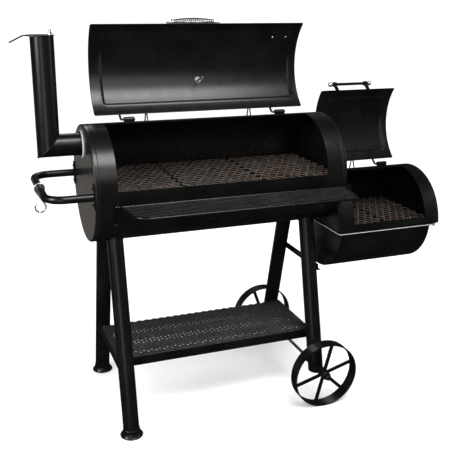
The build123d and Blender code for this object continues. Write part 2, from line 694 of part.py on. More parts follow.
# ---------------------------------------------------------------- front shelf
def shelf_plate(x0, x1, drop):
    """Strap down the barrel's side; its upper hole carries the shelf's back rod."""
    strap = block(x0, x1, -STRAP_TOP, 26, -drop, STRAP_TOP)
    strap = Pos(0, SHELF_BACK_Y, SHELF_Z) * Rot(STRAP_TILT, 0, 0) * strap
    strap -= bar_x(x0 - 1, x1 + 1, SHELF_ROD_R + PIN_CLEARANCE, SHELF_BACK_Y, SHELF_Z)
    strap -= barrel_body()
    return strap.solids().sort_by(SortBy.VOLUME)[-1]


def make_front_shelf():
    r = SHELF_ROD_R
    y_back = SHELF_BACK_Y
    y_front = SHELF_FRONT_Y
    z = SHELF_Z
    left_back = (SHELF_BACK_X0, y_back, z)
    left_front = (SHELF_FRONT_X0, y_front, z)
    right_front = (SHELF_FRONT_X1, y_front, z)
    right_back = (SHELF_BACK_X1, y_back, z)
    bends = [SHELF_LEFT_BEND, SHELF_RIGHT_BEND]
    rim = bent_rod([left_back, left_front, right_front, right_back], r, bends)
    pivot_x0 = SHELF_BACK_X0 - SHELF_PIVOT_REACH
    pivot_x1 = SHELF_BACK_X1 + SHELF_PIVOT_REACH
    rim += bar_x(pivot_x0, pivot_x1, r, y_back, z)
    for x0, x1 in ((pivot_x0 - 4, pivot_x0), (pivot_x1, pivot_x1 + 4)):
        rim += bar_x(x0, x1, 7.5, y_back, z)
    for x in SHELF_RIB_X:
        rim += bar_y(y_front, y_back - 10, 3.0, x, z - 5)
    keep("shelf_frame", rim)
    inset = r - 0.5
    arc_x = SHELF_FRONT_X0 + SHELF_LEFT_BEND - 7
    arc_y = y_front + SHELF_LEFT_BEND
    arc_r = SHELF_LEFT_BEND - r / 2
    corners = [(SHELF_BACK_X1 - 6, y_back - inset), (SHELF_BACK_X0 + inset, y_back - inset)]
    for angle in (190, 210, 230, 250, 270):
        a = math.radians(angle)
        corners.append((arc_x + arc_r * math.cos(a), arc_y + arc_r * math.sin(a)))
    corners += [(SHELF_FRONT_X1 - 18, y_front + r / 2), (SHELF_FRONT_X1, y_front + 18)]
    sheet = diamond_sheet(corners, z - SHEET / 2, z + SHEET / 2, FINE_CELL, FINE_STRAND, 3)
    keep("shelf_mesh", sheet - rim)
    keep("shelf_plate_left", shelf_plate(SHELF_BACK_X0 - 12, SHELF_BACK_X0 - 8, STRAP_LEFT_DROP))
    keep("shelf_plate_right", shelf_plate(SHELF_BACK_X1 + 8, SHELF_BACK_X1 + 12, STRAP_RIGHT_DROP))


def make_barrel_bolts():
    """Round-headed bolts of the shelf plates and the side handle plates."""
    bolts = []
    strap = Pos(0, SHELF_BACK_Y, SHELF_Z) * Rot(STRAP_TILT, 0, 0)
    ends = ((SHELF_BACK_X0 - 12, -1, STRAP_LEFT_DROP), (SHELF_BACK_X1 + 12, 1, STRAP_RIGHT_DROP))
    for x, direction, drop in ends:
        low = (strap * Pos(0, 3, STRAP_BOLT_RISE - drop)).position
        centre = Vector(x, low.Y, low.Z)
        bolts.append(round_bolt(centre, Vector(direction, 0, 0), 6.0, 7.0))
    for side in (-1, 1):
        for dz in (-HANDLE_BOLT_Z, HANDLE_BOLT_Z):
            centre = Vector(-WALL, side * (HANDLE_Y - 5), HANDLE_Z + dz)
            bolts.append(round_bolt(centre, Vector(-1, 0, 0), 5.0, 4.0))
    keep("barrel_bolts", Compound([b.solids()[0] for b in bolts]))


# ---------------------------------------------------------------- stand
def leg_y(z):
    return LEG_TOP_Y + (LEG_TOP_Z - z) * LEG_SPLAY


def leg_bar(x, side, radius, z_top, z_bottom):
    a = (x, side * leg_y(z_top), z_top)
    b = (x, side * leg_y(z_bottom), z_bottom)
    return straight_rod(a, b, radius)


def make_legs():
    axle = bar_y(-400, 400, AXLE_R, LEG_X_RIGHT, AXLE_Z)
    for place, side in (("front", -1), ("back", 1)):
        left = leg_bar(LEG_X_LEFT, side, LEG_R, -120, FLOOR + 4) - leg_bar(
            LEG_X_LEFT, side, LEG_R - LEG_WALL, -110, FLOOR - 20
        )
        left -= barrel_body()
        left -= block(0, 200, -400, 400, FLOOR - 60, FLOOR + 8)
        keep("leg_" + place + "_left", left)
        right = leg_bar(LEG_X_RIGHT, side, LEG_R, -120, AXLE_Z - 30) - leg_bar(
            LEG_X_RIGHT, side, LEG_R - LEG_WALL, -110, AXLE_Z - 60
        )
        right -= barrel_body()
        right -= block(700, 950, -400, 400, AXLE_Z - 80, AXLE_Z - 17)
        keep("leg_" + place + "_right", right - axle)
        foot_y = side * leg_y(FLOOR + 12)
        bell = Cone(FOOT_R, LEG_R + 3.5, FOOT_HEIGHT - 8)
        foot = bar_z(FLOOR, FLOOR + 8, FOOT_R, LEG_X_LEFT, foot_y)
        foot += Pos(LEG_X_LEFT, foot_y, FLOOR + 8 + (FOOT_HEIGHT - 8) / 2) * bell
        socket = leg_bar(LEG_X_LEFT, side, LEG_R, -600, FLOOR + 4)
        socket -= block(0, 200, -400, 400, FLOOR - 60, FLOOR + 8)
        keep("foot_" + place, foot - socket)


def angle_bar(x0, x1, y0, y1, z_top, along, flip):
    """Equal angle: a vertical leg and a level leg. flip puts the vertical on the high side."""
    t = ANGLE_SHEET
    size = ANGLE_LEG
    if along == "x":
        edge = (y1 - t, y1) if flip else (y0, y0 + t)
        vertical = block(x0, x1, edge[0], edge[1], z_top - size, z_top)
    else:
        edge = (x1 - t, x1) if flip else (x0, x0 + t)
        vertical = block(edge[0], edge[1], y0, y1, z_top - size, z_top)
    return vertical + block(x0, x1, y0, y1, z_top - t, z_top)


def make_rack():
    legs = PARTS["leg_front_left"] + PARTS["leg_back_left"]
    legs_right = PARTS["leg_front_right"] + PARTS["leg_back_right"]
    h = RACK_HALF
    a = ANGLE_LEG
    reach = leg_y(RACK_TOP - ANGLE_LEG / 2) - 12
    frame = angle_bar(RACK_X0, RACK_X1, -h, -h + a, RACK_TOP, "x", False)
    frame += angle_bar(RACK_X0, RACK_X1, h - a, h, RACK_TOP, "x", True)
    frame += angle_bar(RACK_X0, RACK_X0 + a, -reach, reach, RACK_TOP, "y", False)
    frame += angle_bar(RACK_X1 - a, RACK_X1, -reach, reach, RACK_TOP, "y", True)
    for y in (-46.0, 46.0):
        frame += block(RACK_X0 + 4, RACK_X1 - 4, y - 2, y + 2, RACK_TOP - 26, RACK_TOP)
    for x in (LEG_X_LEFT, LEG_X_RIGHT):
        for side in (-1, 1):
            frame -= leg_bar(x, side, LEG_R, RACK_TOP + 60, RACK_TOP - 80)
    keep("rack_frame", frame)
    outline = rectangle(RACK_X0 + 1, RACK_X1 - 1, -h + 1, h - 1)
    keep("rack_mesh", diamond_sheet(outline, RACK_TOP, RACK_TOP + SHEET, FINE_CELL, FINE_STRAND, 3))


def make_brace():
    """Angle bar across the outer side of the right legs, and its bolts."""
    x0 = LEG_X_RIGHT + LEG_R
    y_end = leg_y(BRACE_Z) + 16
    t = BRACE_SHEET
    low = BRACE_Z - BRACE_HALF
    brace = block(x0, x0 + t, -y_end, y_end, low, BRACE_Z + BRACE_HALF)
    brace += block(x0, x0 + BRACE_HALF, -y_end, y_end, low, low + t)
    keep("leg_brace", brace)
    bolts = []
    for side in (-1, 1):
        centre = Vector(x0 + t, side * leg_y(BRACE_Z), BRACE_Z + 2)
        bolts.append(round_bolt(centre, Vector(1, 0, 0), 6.5, 5.0))
        for x in (RACK_X0 + 16, RACK_X1 - 16):
            centre = Vector(x, side * 152.5, RACK_TOP)
            bolts.append(round_bolt(centre, Vector(0, 0, 1), 6.5, 5.0))
    z_top = SEAT_Z - LIP_HEIGHT
    for x in (FIREBOX_X0 + 5, FIREBOX_X1 - 22):
        for side in (-1, 1):
            centre = Vector(x, side * LIP_BOLT_Y, z_top)
            bolts.append(round_bolt(centre, Vector(0, 0, -1), 6.5, 5.0))
    keep("frame_bolts", Compound([b.solids()[0] for b in bolts]))


def make_wheels():
    keep("axle", bar_y(-WHEEL_FACE_Y - 15, WHEEL_FACE_Y + 15, AXLE_R, LEG_X_RIGHT, AXLE_Z))
    fasteners = []
    for place, side, first in (("front", -1, 14.0), ("back", 1, -20.0)):
        y_outer = side * WHEEL_FACE_Y
        y_inner = side * (WHEEL_FACE_Y - WHEEL_WIDTH)
        y0, y1 = sorted((y_outer, y_inner))
        mid = (y0 + y1) / 2
        x = LEG_X_RIGHT
        wheel = bar_y(y0, y1, WHEEL_R, x, AXLE_Z) - bar_y(y0 - 1, y1 + 1, WHEEL_R - RIM_SHEET, x, AXLE_Z)
        for i in range(6):
            spoke = block(-6.5, 6.5, -2.5, 2.5, HUB_R - 3, WHEEL_R - RIM_SHEET + 1)
            wheel += Pos(x, mid, AXLE_Z) * Rot(0, first + 60 * i, 0) * spoke
        h0, h1 = sorted((side * (WHEEL_FACE_Y + 4), side * (WHEEL_FACE_Y - 50)))
        hub = bar_y(h0, h1, HUB_R, x, AXLE_Z)
        wheel -= hub
        hub = chamfer(hub.edges().filter_by(GeomType.CIRCLE), 1.5)
        hub -= bar_y(h0 - 1, h1 + 1, AXLE_R + AXLE_CLEARANCE, x, AXLE_Z)
        keep("wheel_" + place, wheel)
        keep("hub_" + place, hub)
        cap0, cap1 = sorted((side * (WHEEL_FACE_Y + 4.4), side * (WHEEL_FACE_Y + 20)))
        cap = bar_y(cap0, cap1, 11, x, AXLE_Z)
        far = cap.edges().filter_by(GeomType.CIRCLE).sort_by(Axis.Y)
        cap = fillet(far[0] if side < 0 else far[-1], 5)
        axle = bar_y(-WHEEL_FACE_Y - 15, WHEEL_FACE_Y + 15, AXLE_R, x, AXLE_Z)
        s0, s1 = sorted((side * (leg_y(AXLE_Z) + 4), side * (WHEEL_FACE_Y - 50.4)))
        spacer = bar_y(s0, s1, 11, x, AXLE_Z) - leg_bar(x, side, LEG_R, AXLE_Z + 60, AXLE_Z - 60)
        fasteners += [cap - axle, spacer - axle]
    keep("axle_fasteners", Compound([f.solids()[0] for f in fasteners]))


def build():
    keep("barrel_tube", make_barrel())
    left = barrel_end(0.0, 1)
    left -= bar_x(-1, WALL + 1, PIPE_R - PIPE_WALL, FLUE_Y, FLUE_Z)
    keep("barrel_end_left", left)
    right = barrel_end(BARREL_LENGTH, -1)
    right -= flue_window(BARREL_LENGTH - WALL - 1, BARREL_LENGTH + 1)
    keep("barrel_end_right", right)
    make_firebox()
    make_vent()
    make_lid()
    make_firebox_lid()
    tubes = [knuckle(x, x + 37, HINGE_Z, BARREL_R, 0) for x in LID_KNUCKLE_X]
    keep("lid_knuckles", Compound(tubes))
    tubes = [knuckle(x, x + 39, FB_HINGE_Z, FIREBOX_R, FIREBOX_Z) for x in FB_KNUCKLE_X]
    keep("firebox_knuckles", Compound(tubes))
    keep("lid_stops", Compound([lid_stop(x, BARREL_R, 0, 0) for x in LID_STOP_X]))
    keep("firebox_lid_stop", lid_stop(FB_STOP_X, FIREBOX_R, FIREBOX_Z, FB_HINGE_Z - HINGE_Z))
    make_chimney()
    make_side_handle()
    make_hook()
    make_grates()
    make_front_shelf()
    make_barrel_bolts()
    make_legs()
    make_rack()
    make_brace()
    make_wheels()


build()
whole = Compound([s for part in PARTS.values() for s in part.solids()]).bounding_box()
middle = whole.center()
place = Location((-middle.X, -middle.Y, AXIS_HEIGHT))
os.makedirs("parts", exist_ok=True)
for node, shape in PARTS.items():
    export_step(place * shape, "parts/" + node + ".step")
print(len(PARTS), "nodes; box", whole.min, whole.max, "placed by", place.position)
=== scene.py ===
import bpy
import bmesh
import json
import math
import random
from mathutils import Euler, Matrix, Vector


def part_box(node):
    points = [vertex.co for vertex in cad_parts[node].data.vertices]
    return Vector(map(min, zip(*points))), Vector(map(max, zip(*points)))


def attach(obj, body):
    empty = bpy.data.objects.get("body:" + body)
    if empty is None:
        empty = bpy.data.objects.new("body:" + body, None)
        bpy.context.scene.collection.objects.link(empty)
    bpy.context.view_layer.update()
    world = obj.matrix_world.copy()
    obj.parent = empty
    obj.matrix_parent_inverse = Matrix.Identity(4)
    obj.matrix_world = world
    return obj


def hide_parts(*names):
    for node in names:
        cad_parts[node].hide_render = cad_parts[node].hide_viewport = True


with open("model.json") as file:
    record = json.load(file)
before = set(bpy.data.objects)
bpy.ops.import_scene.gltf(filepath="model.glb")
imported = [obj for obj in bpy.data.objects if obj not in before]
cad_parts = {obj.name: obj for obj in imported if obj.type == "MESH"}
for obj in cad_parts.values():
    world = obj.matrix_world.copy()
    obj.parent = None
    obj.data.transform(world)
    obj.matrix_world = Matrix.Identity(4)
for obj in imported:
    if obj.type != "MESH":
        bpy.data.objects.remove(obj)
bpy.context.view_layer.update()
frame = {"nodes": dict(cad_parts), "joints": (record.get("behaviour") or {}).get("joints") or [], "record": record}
NODES = frame["nodes"]
JOINTS = {joint["name"]: joint for joint in frame["joints"]}
MM = 0.001

# Sizes in millimetres, in the barrel's frame: X from the barrel's left end face, Y towards
# the back and Z up from the barrel's axis.
END_LOW, END_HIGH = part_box("barrel_end_left")
ORIGIN = Vector((END_LOW.x, (END_LOW.y + END_HIGH.y) / 2, (END_LOW.z + END_HIGH.z) / 2))
BARREL_R = 203.0
FIREBOX_R = 201.0
FIREBOX_Z = -230.5
FIREBOX_HOLE = (928.0, 1304.0, -181.0, 181.0)
LID_GAP = 1.0
LID_SHEET = 2.5
LID_CORNER = 7.0
PANEL_BORDER = 36.0
PANEL_SHIFT = 9.0
PANEL_DEPTH = 3.5
PANEL_STEP = 9.0
PANEL_CORNER = 16.0
COIL_X0 = 358.0
COIL_X1 = 510.0
COIL_ANGLE = 171.5
COIL_HEIGHT = 32.5
GAUGE_X = 455.0
GAUGE_ANGLE = 117.0
BADGE_X = 769.0
BADGE_ANGLE = 161.0
BADGE_SCREW = 27.0
SHELF_BACK_Y = -210.0
SHELF_FRONT_Y = -363.0
HANDLE_Z = -2.0
LEG_R = 28.5
LEG_SPLAY = 0.245
LEG_TOP_Y = 82.0
LEG_TOP_Z = -160.0
LEG_X = (82.0, 817.0)
PIPE_R = 38.0
STACK_X = -110.0
STACK_TOP = 493.0
DAMPER_GAP = 0.4
DAMPER_SHEET = 3.0
FLUE_Y = 12.0
FLUE_Z = 136.0


def at(x, y, z):
    """A point of the barrel's frame, in the row frame's metres."""
    return ORIGIN + Vector((x, y, z)) * MM


def polar(radius, angle, z_centre=0.0):
    """Y and Z of a point round the barrel's axis, its angle in degrees from +Y."""
    a = math.radians(angle)
    return radius * math.cos(a), z_centre + radius * math.sin(a)


def node_span(node):
    """Lowest and highest corner of a CAD node, in the barrel's frame."""
    low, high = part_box(node)
    return (low - ORIGIN) / MM, (high - ORIGIN) / MM


# ---------------------------------------------------------------- camera, floor, light
# The camera's place is in the row frame's metres, and its turns are in degrees.
CAMERA_SPOT = (-0.98646, -2.39848, 1.48079)
CAMERA_DOWN = 17.675
CAMERA_TURN = -20.453
CAMERA_ROLL = 0.458
FLOOR_HALF = 40.0
WORLD_FILL = 1.15
WORLD_GLOSS = 0.02

# Each softbox, in metres: name, place, the point it faces, width, height and watts, and for a
# tinted or narrow one its colour and its beam's angle in degrees.
LIGHTS = [
    ("key", (0.2, -1.6, 3.3), (0.0, 0, 1.2), 1.9, 1.1, 66),
    ("front_high", (0.0, -3.0, 2.5), (0.0, 0, 1.3), 2.2, 0.9, 11),
    ("front_fill", (-1.5, -2.2, 0.9), (-0.3, 0, 0.7), 0.9, 1.7, 6),
    ("left_high", (-2.6, -0.9, 1.9), (-0.5, 0, 1.0), 0.8, 1.6, 44),
    ("left_low", (-1.3, 2.2, 0.3), (-0.57, 0, 0.85), 1.9, 1.6, 0.4, (1.0, 0.93, 0.84), 70.0),
    ("right", (3.0, -1.2, 1.7), (0.4, 0, 0.8), 1.0, 2.0, 9),
    ("back", (0.5, 2.4, 2.8), (0.2, 0, 0.9), 2.0, 1.0, 14),
]


def add_camera():
    """Standing left of the smoker's front, looking down a little."""
    data = bpy.data.cameras.new("camera")
    data.lens = 57.38
    data.sensor_width = 36.0
    data.shift_x = 0.0204
    camera = bpy.data.objects.new("camera", data)
    turn = Euler((math.radians(90 - CAMERA_DOWN), 0, math.radians(CAMERA_TURN))).to_matrix()
    roll = Matrix.Rotation(math.radians(CAMERA_ROLL), 3, "Z")
    camera.matrix_world = Matrix.Translation(CAMERA_SPOT) @ (turn @ roll).to_4x4()
    bpy.context.scene.collection.objects.link(camera)
    bpy.context.scene.camera = camera


def area_light(name, spot, target, width, height, watts, colour=(1, 1, 1), beam=180.0):
    """Rectangular softbox that faces its target."""
    data = bpy.data.lights.new(name, "AREA")
    data.shape = "RECTANGLE"
    data.spread = math.radians(beam)
    data.size = width
    data.size_y = height
    data.energy = watts
    data.color = colour
    light = bpy.data.objects.new(name, data)
    direction = Vector(target) - Vector(spot)
    light.location = spot
    light.rotation_euler = direction.to_track_quat("-Z", "Y").to_euler()
    light.visible_camera = False
    bpy.context.scene.collection.objects.link(light)


def add_world():
    """White surroundings for the eye and for the fill light, and dim ones for reflections."""
    world = bpy.data.worlds.new("world")
    bpy.context.scene.world = world
    world.use_nodes = True
    tree = world.node_tree
    background = tree.nodes["Background"]
    background.inputs["Color"].default_value = (1, 1, 1, 1)
    path = tree.nodes.new("ShaderNodeLightPath")
    strength = tree.nodes.new("ShaderNodeMapRange")
    strength.inputs["To Min"].default_value = WORLD_FILL
    strength.inputs["To Max"].default_value = WORLD_GLOSS
    tree.links.new(path.outputs["Is Glossy Ray"], strength.inputs["Value"])
    tree.links.new(strength.outputs["Result"], background.inputs["Strength"])


def add_studio():
    """White surroundings, a pale floor that mirrors nothing, and the softboxes."""
    scene = bpy.context.scene
    scene.view_settings.view_transform = "Standard"
    add_world()
    floor_mesh = bpy.data.meshes.new("studio_floor")
    corners = [(x * FLOOR_HALF, y * FLOOR_HALF, 0) for x, y in ((-1, -1), (1, -1), (1, 1), (-1, 1))]
    floor_mesh.from_pydata(corners, [], [(0, 1, 2, 3)])
    floor = bpy.data.objects.new("studio_floor", floor_mesh)
    scene.collection.objects.link(floor)
    pale = bpy.data.materials.new("studio_floor")
    pale.use_nodes = True
    shader = pale.node_tree.nodes["Principled BSDF"]
    shader.inputs["Base Color"].default_value = (0.95, 0.95, 0.95, 1)
    shader.inputs["Roughness"].default_value = 1.0
    shader.inputs["Specular IOR Level"].default_value = 0.0
    floor_mesh.materials.append(pale)
    floor.visible_glossy = False
    for light in LIGHTS:
        area_light(*light)


# ---------------------------------------------------------------- materials
def grey(value):
    return value, value, value


def new_material(name):
    material = bpy.data.materials.new(name)
    material.use_nodes = True
    tree = material.node_tree
    shader = tree.nodes["Principled BSDF"]
    coords = tree.nodes.new("ShaderNodeTexCoord")
    return material, tree, shader, coords.outputs["Object"]


def noise(tree, coords, scale, detail, rough=0.5):
    node = tree.nodes.new("ShaderNodeTexNoise")
    node.inputs["Scale"].default_value = scale
    node.inputs["Detail"].default_value = detail
    node.inputs["Roughness"].default_value = rough
    tree.links.new(coords, node.inputs["Vector"])
    return node.outputs["Fac"]


def stretched(tree, coords, factors):
    """Coordinates scaled unequally, for grain that runs one way."""
    node = tree.nodes.new("ShaderNodeMapping")
    node.inputs["Scale"].default_value = factors
    tree.links.new(coords, node.inputs["Vector"])
    return node.outputs["Vector"]


def spread(tree, value, low, high):
    """Maps a noise value, which mostly lies between 0.3 and 0.7, onto a range of numbers."""
    node = tree.nodes.new("ShaderNodeMapRange")
    node.inputs["From Min"].default_value = 0.3
    node.inputs["From Max"].default_value = 0.7
    node.inputs["To Min"].default_value = low
    node.inputs["To Max"].default_value = high
    tree.links.new(value, node.inputs["Value"])
    return node.outputs["Result"]


def ramp(tree, value, low, high, first, last):
    """Blends from one colour to another as the value goes from first to last."""
    node = tree.nodes.new("ShaderNodeValToRGB")
    node.color_ramp.elements[0].position = first
    node.color_ramp.elements[0].color = (*low, 1)
    node.color_ramp.elements[1].position = last
    node.color_ramp.elements[1].color = (*high, 1)
    tree.links.new(value, node.inputs["Fac"])
    return node.outputs["Color"]


def bump(tree, shader, height, strength, distance):
    node = tree.nodes.new("ShaderNodeBump")
    node.inputs["Strength"].default_value = strength
    node.inputs["Distance"].default_value = distance
    tree.links.new(height, node.inputs["Height"])
    tree.links.new(node.outputs["Normal"], shader.inputs["Normal"])


def paint_material(name, dark, light, rough_low, rough_high, specular=0.5, peel=0.06):
    """Heat-resistant paint: faint cloudiness, orange peel, slightly uneven gloss."""
    material, tree, shader, coords = new_material(name)
    cloud = noise(tree, coords, scale=9.0, detail=4.0)
    tree.links.new(ramp(tree, cloud, dark, light, 0.35, 0.7), shader.inputs["Base Color"])
    gloss = noise(tree, coords, scale=26.0, detail=4.0, rough=0.6)
    tree.links.new(spread(tree, gloss, rough_low, rough_high), shader.inputs["Roughness"])
    shader.inputs["Specular IOR Level"].default_value = specular
    bump(tree, shader, noise(tree, coords, scale=420.0, detail=2.0), peel, distance=0.0006)
    return material


def metal_material(name, dark, light, rough_low, rough_high, metallic=1.0, grain=300.0, strength=0.15):
    """Bare or plated metal: cloudy tone, uneven gloss and a fine grain."""
    material, tree, shader, coords = new_material(name)
    shader.inputs["Metallic"].default_value = metallic
    cloud = noise(tree, coords, scale=40.0, detail=5.0, rough=0.6)
    tree.links.new(ramp(tree, cloud, dark, light, 0.3, 0.7), shader.inputs["Base Color"])
    gloss = noise(tree, coords, scale=90.0, detail=4.0)
    tree.links.new(spread(tree, gloss, rough_low, rough_high), shader.inputs["Roughness"])
    bump(tree, shader, noise(tree, coords, scale=grain, detail=3.0), strength, distance=0.0004)
    return material


def brushed_material(name, dark, light, rough_low, rough_high):
    """Satin sheet metal with grain along X."""
    material, tree, shader, coords = new_material(name)
    shader.inputs["Metallic"].default_value = 1.0
    grain = noise(tree, stretched(tree, coords, (20.0, 900.0, 900.0)), scale=1.0, detail=4.0, rough=0.6)
    tree.links.new(ramp(tree, grain, dark, light, 0.3, 0.7), shader.inputs["Base Color"])
    tree.links.new(spread(tree, grain, rough_low, rough_high), shader.inputs["Roughness"])
    bump(tree, shader, grain, strength=0.08, distance=0.0003)
    return material


def make_materials():
    """One material for each slot: its dark and light tone, its lowest and highest roughness."""
    return {
        "black_paint": paint_material("black_paint", grey(0.0016), (0.004, 0.004, 0.0038), 0.26, 0.32),
        # end_paint is the black paint made lighter and warmer: a painted reflection of the warm light that the end
        # caps mirror.
        "end_paint": paint_material("end_paint", (0.003, 0.0028, 0.0026), (0.006, 0.0055, 0.005), 0.26, 0.32),
        "black_mesh": paint_material(
            "black_mesh", (0.003, 0.003, 0.0027), (0.009, 0.0087, 0.008), 0.4, 0.58, specular=0.4, peel=0.2
        ),
        "grate_steel": metal_material(
            "grate_steel", (0.14, 0.108, 0.09), (0.5, 0.41, 0.345), 0.28, 0.44, metallic=0.75, strength=0.3
        ),
        "chrome": metal_material("chrome", grey(0.6), (0.76, 0.76, 0.77), 0.09, 0.16, 0.9, 700.0, 0.03),
        "zinc_steel": metal_material("zinc_steel", grey(0.3), grey(0.5), 0.3, 0.5),
        # bare_lip's light grey is a painted highlight: it colours the bright strips on the firebox flanges and on
        # the flue collar's rim.
        "bare_lip": metal_material("bare_lip", grey(0.6), grey(0.85), 0.3, 0.5, metallic=0.3),
        "gauge_steel": brushed_material("gauge_steel", grey(0.3), grey(0.48), 0.24, 0.38),
        "badge_plate": brushed_material("badge_plate", grey(0.4), grey(0.62), 0.25, 0.4),
    }


def paint_nodes(materials):
    """Gives every CAD node the material of its slot."""
    slots = {p["node"]: p["material_slot"] for p in frame["record"]["subparts"]}
    for name, obj in NODES.items():
        obj.data.materials.clear()
        obj.data.materials.append(materials[slots[name]])
        for polygon in obj.data.polygons:
            polygon.material_index = 0


# ---------------------------------------------------------------- mesh building
# Facets round a turned shape.
DISC_SIDES = 64
FOOT_SIDES = 48
STUD_SIDES = 24
BOLT_SIDES = 20
AXIS_HOLE = 0.02


class Form:
    """Vertices in the barrel's frame and faces, gathered before they become one mesh."""

    def __init__(self):
        self.verts = []
        self.faces = []

    def add(self, verts, faces):
        first = len(self.verts)
        self.verts += [Vector(v) for v in verts]
        self.faces += [[first + i for i in face] for face in faces]


def rings_to_faces(form, rings, closed_path, capped=True):
    """Skins a row of equal closed rings of vertices."""
    count = len(rings[0])
    verts = [v for ring in rings for v in ring]
    faces = []
    spans = len(rings) if closed_path else len(rings) - 1
    for i in range(spans):
        a = i * count
        b = (i + 1) % len(rings) * count
        for j in range(count):
            k = (j + 1) % count
            faces.append([a + j, a + k, b + k, b + j])
    if capped and not closed_path:
        faces.append(list(range(count))[::-1])
        faces.append([len(verts) - count + j for j in range(count)])
    form.add(verts, faces)


def tube(form, points, radii, sides, closed=False):
    """Round tube along a path; radii is one number or one for each point."""
    points = [Vector(p) for p in points]
    count = len(points)
    if not isinstance(radii, (list, tuple)):
        radii = [radii] * count
    tangents = []
    for i in range(count):
        before = points[i - 1] if i or closed else points[0]
        after = points[(i + 1) % count] if i < count - 1 or closed else points[-1]
        tangents.append((after - before).normalized())
    normal = tangents[0].orthogonal().normalized()
    rings = []
    for point, tangent, radius in zip(points, tangents, radii):
        normal = (normal - tangent * normal.dot(tangent)).normalized()
        other = tangent.cross(normal)
        turns = [2 * math.pi * k / sides for k in range(sides)]
        rings.append([point + (normal * math.cos(t) + other * math.sin(t)) * radius for t in turns])
    rings_to_faces(form, rings, closed)


def lathe(form, centre, axis, profile, sides):
    """Turned shape: profile is (radius, height along axis) pairs, closed at both ends.

    A radius of 0 becomes AXIS_HOLE, so that no two vertices of a ring fall together.
    """
    axis = Vector(axis).normalized()
    u = axis.orthogonal().normalized()
    w = axis.cross(u)
    rings = []
    for radius, height in profile:
        middle = Vector(centre) + axis * height
        turns = [2 * math.pi * k / sides for k in range(sides)]
        rings.append([middle + (u * math.cos(t) + w * math.sin(t)) * max(radius, AXIS_HOLE) for t in turns])
    rings_to_faces(form, rings, False)


def ribbon_section(half_w, half_h, ease):
    """Outline of a flat bar's section, with eased corners."""
    w, h = half_w - ease, half_h - ease
    return [
        (half_w, -h), (half_w, h), (w, half_h), (-w, half_h),
        (-half_w, h), (-half_w, -h), (-w, -half_h), (w, -half_h),
    ]


def bar(form, start, end, half_w, half_h, side, up, chamfer):
    """Flat bar with eased edges from start to end."""
    side = Vector(side).normalized()
    up = Vector(up).normalized()
    section = ribbon_section(half_w, half_h, chamfer)
    rings = [[Vector(p) + side * a + up * b for a, b in section] for p in (start, end)]
    rings_to_faces(form, rings, False)


def finish_piece(name, form, body, slot, materials, nodes=(), pose=None, sharp=35.0):
    """Turns a form into a named piece that rides on a body."""
    mesh = bpy.data.meshes.new(name)
    mesh.from_pydata([at(*v) for v in form.verts], [], form.faces)
    if pose is not None:
        mesh.transform(pose)
    shape = bmesh.new()
    shape.from_mesh(mesh)
    bmesh.ops.recalc_face_normals(shape, faces=shape.faces)
    shape.to_mesh(mesh)
    shape.free()
    mesh.shade_smooth()
    mesh.set_sharp_from_angle(angle=math.radians(sharp))
    mesh.materials.append(materials[slot])
    piece = bpy.data.objects.new(name, mesh)
    bpy.context.scene.collection.objects.link(piece)
    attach(piece, body)
    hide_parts(*nodes)
    return piece


def opened(joint_name):
    """The turn from a lid's closed place to its open one, which is how the frame stands."""
    joint = JOINTS[joint_name]
    pivot = Matrix.Translation(joint["pos_m"])
    turn = Matrix.Rotation(-math.radians(joint["range_deg"][1]), 4, "X")
    return pivot @ turn @ pivot.inverted()


# ---------------------------------------------------------------- lids
# Distances in from a pressed panel's edge, and from a sheet's edge, that get their own grid lines.
PANEL_MARKS = [0.0, 2.2, 4.5, 6.8, 9.0, 12.0, 16.0]
EDGE_MARKS = [0.0, 1.2, 2.8, 4.8, LID_CORNER]
GRID_ALONG = 24.0
GRID_ROUND = 9.0
EDGE_EASE = 0.7
WELD_DISTANCE = 1e-5


def stations(low, high, marks, step):
    """Grid lines from low to high: the marks, and even steps in the gaps between them."""
    marks = sorted({low, high, *[m for m in marks if low < m < high]})
    lines = []
    for a, b in zip(marks[:-1], marks[1:]):
        parts = max(1, math.ceil((b - a) / step))
        lines += [a + (b - a) * i / parts for i in range(parts)]
    return lines + [high]


def smooth(t):
    """Eased step from 0 to 1."""
    t = min(max(t, 0.0), 1.0)
    return t * t * (3 - 2 * t)


def panel_drop(dx, da):
    """How far the pressed panel lies below the border, dx and da inside its edges."""
    qx = PANEL_CORNER - dx
    qa = PANEL_CORNER - da
    inset = PANEL_CORNER - math.hypot(qx, qa) if qx > 0 and qa > 0 else min(dx, da)
    return PANEL_DEPTH * smooth(inset / PANEL_STEP)


def round_corner(x, a, x_mid, a_mid, half_x, half_a, radius):
    """Moves a point of a rectangle's grid so that the rectangle's corners are round."""
    u = abs(x - x_mid) - (half_x - radius)
    v = abs(a - a_mid) - (half_a - radius)
    if u <= 0 or v <= 0:
        return x, a
    u /= radius
    v /= radius
    new_u = u * math.sqrt(1 - v * v / 2)
    new_v = v * math.sqrt(1 - u * u / 2)
    x = x_mid + math.copysign(half_x - radius + new_u * radius, x - x_mid)
    a = a_mid + math.copysign(half_a - radius + new_v * radius, a - a_mid)
    return x, a


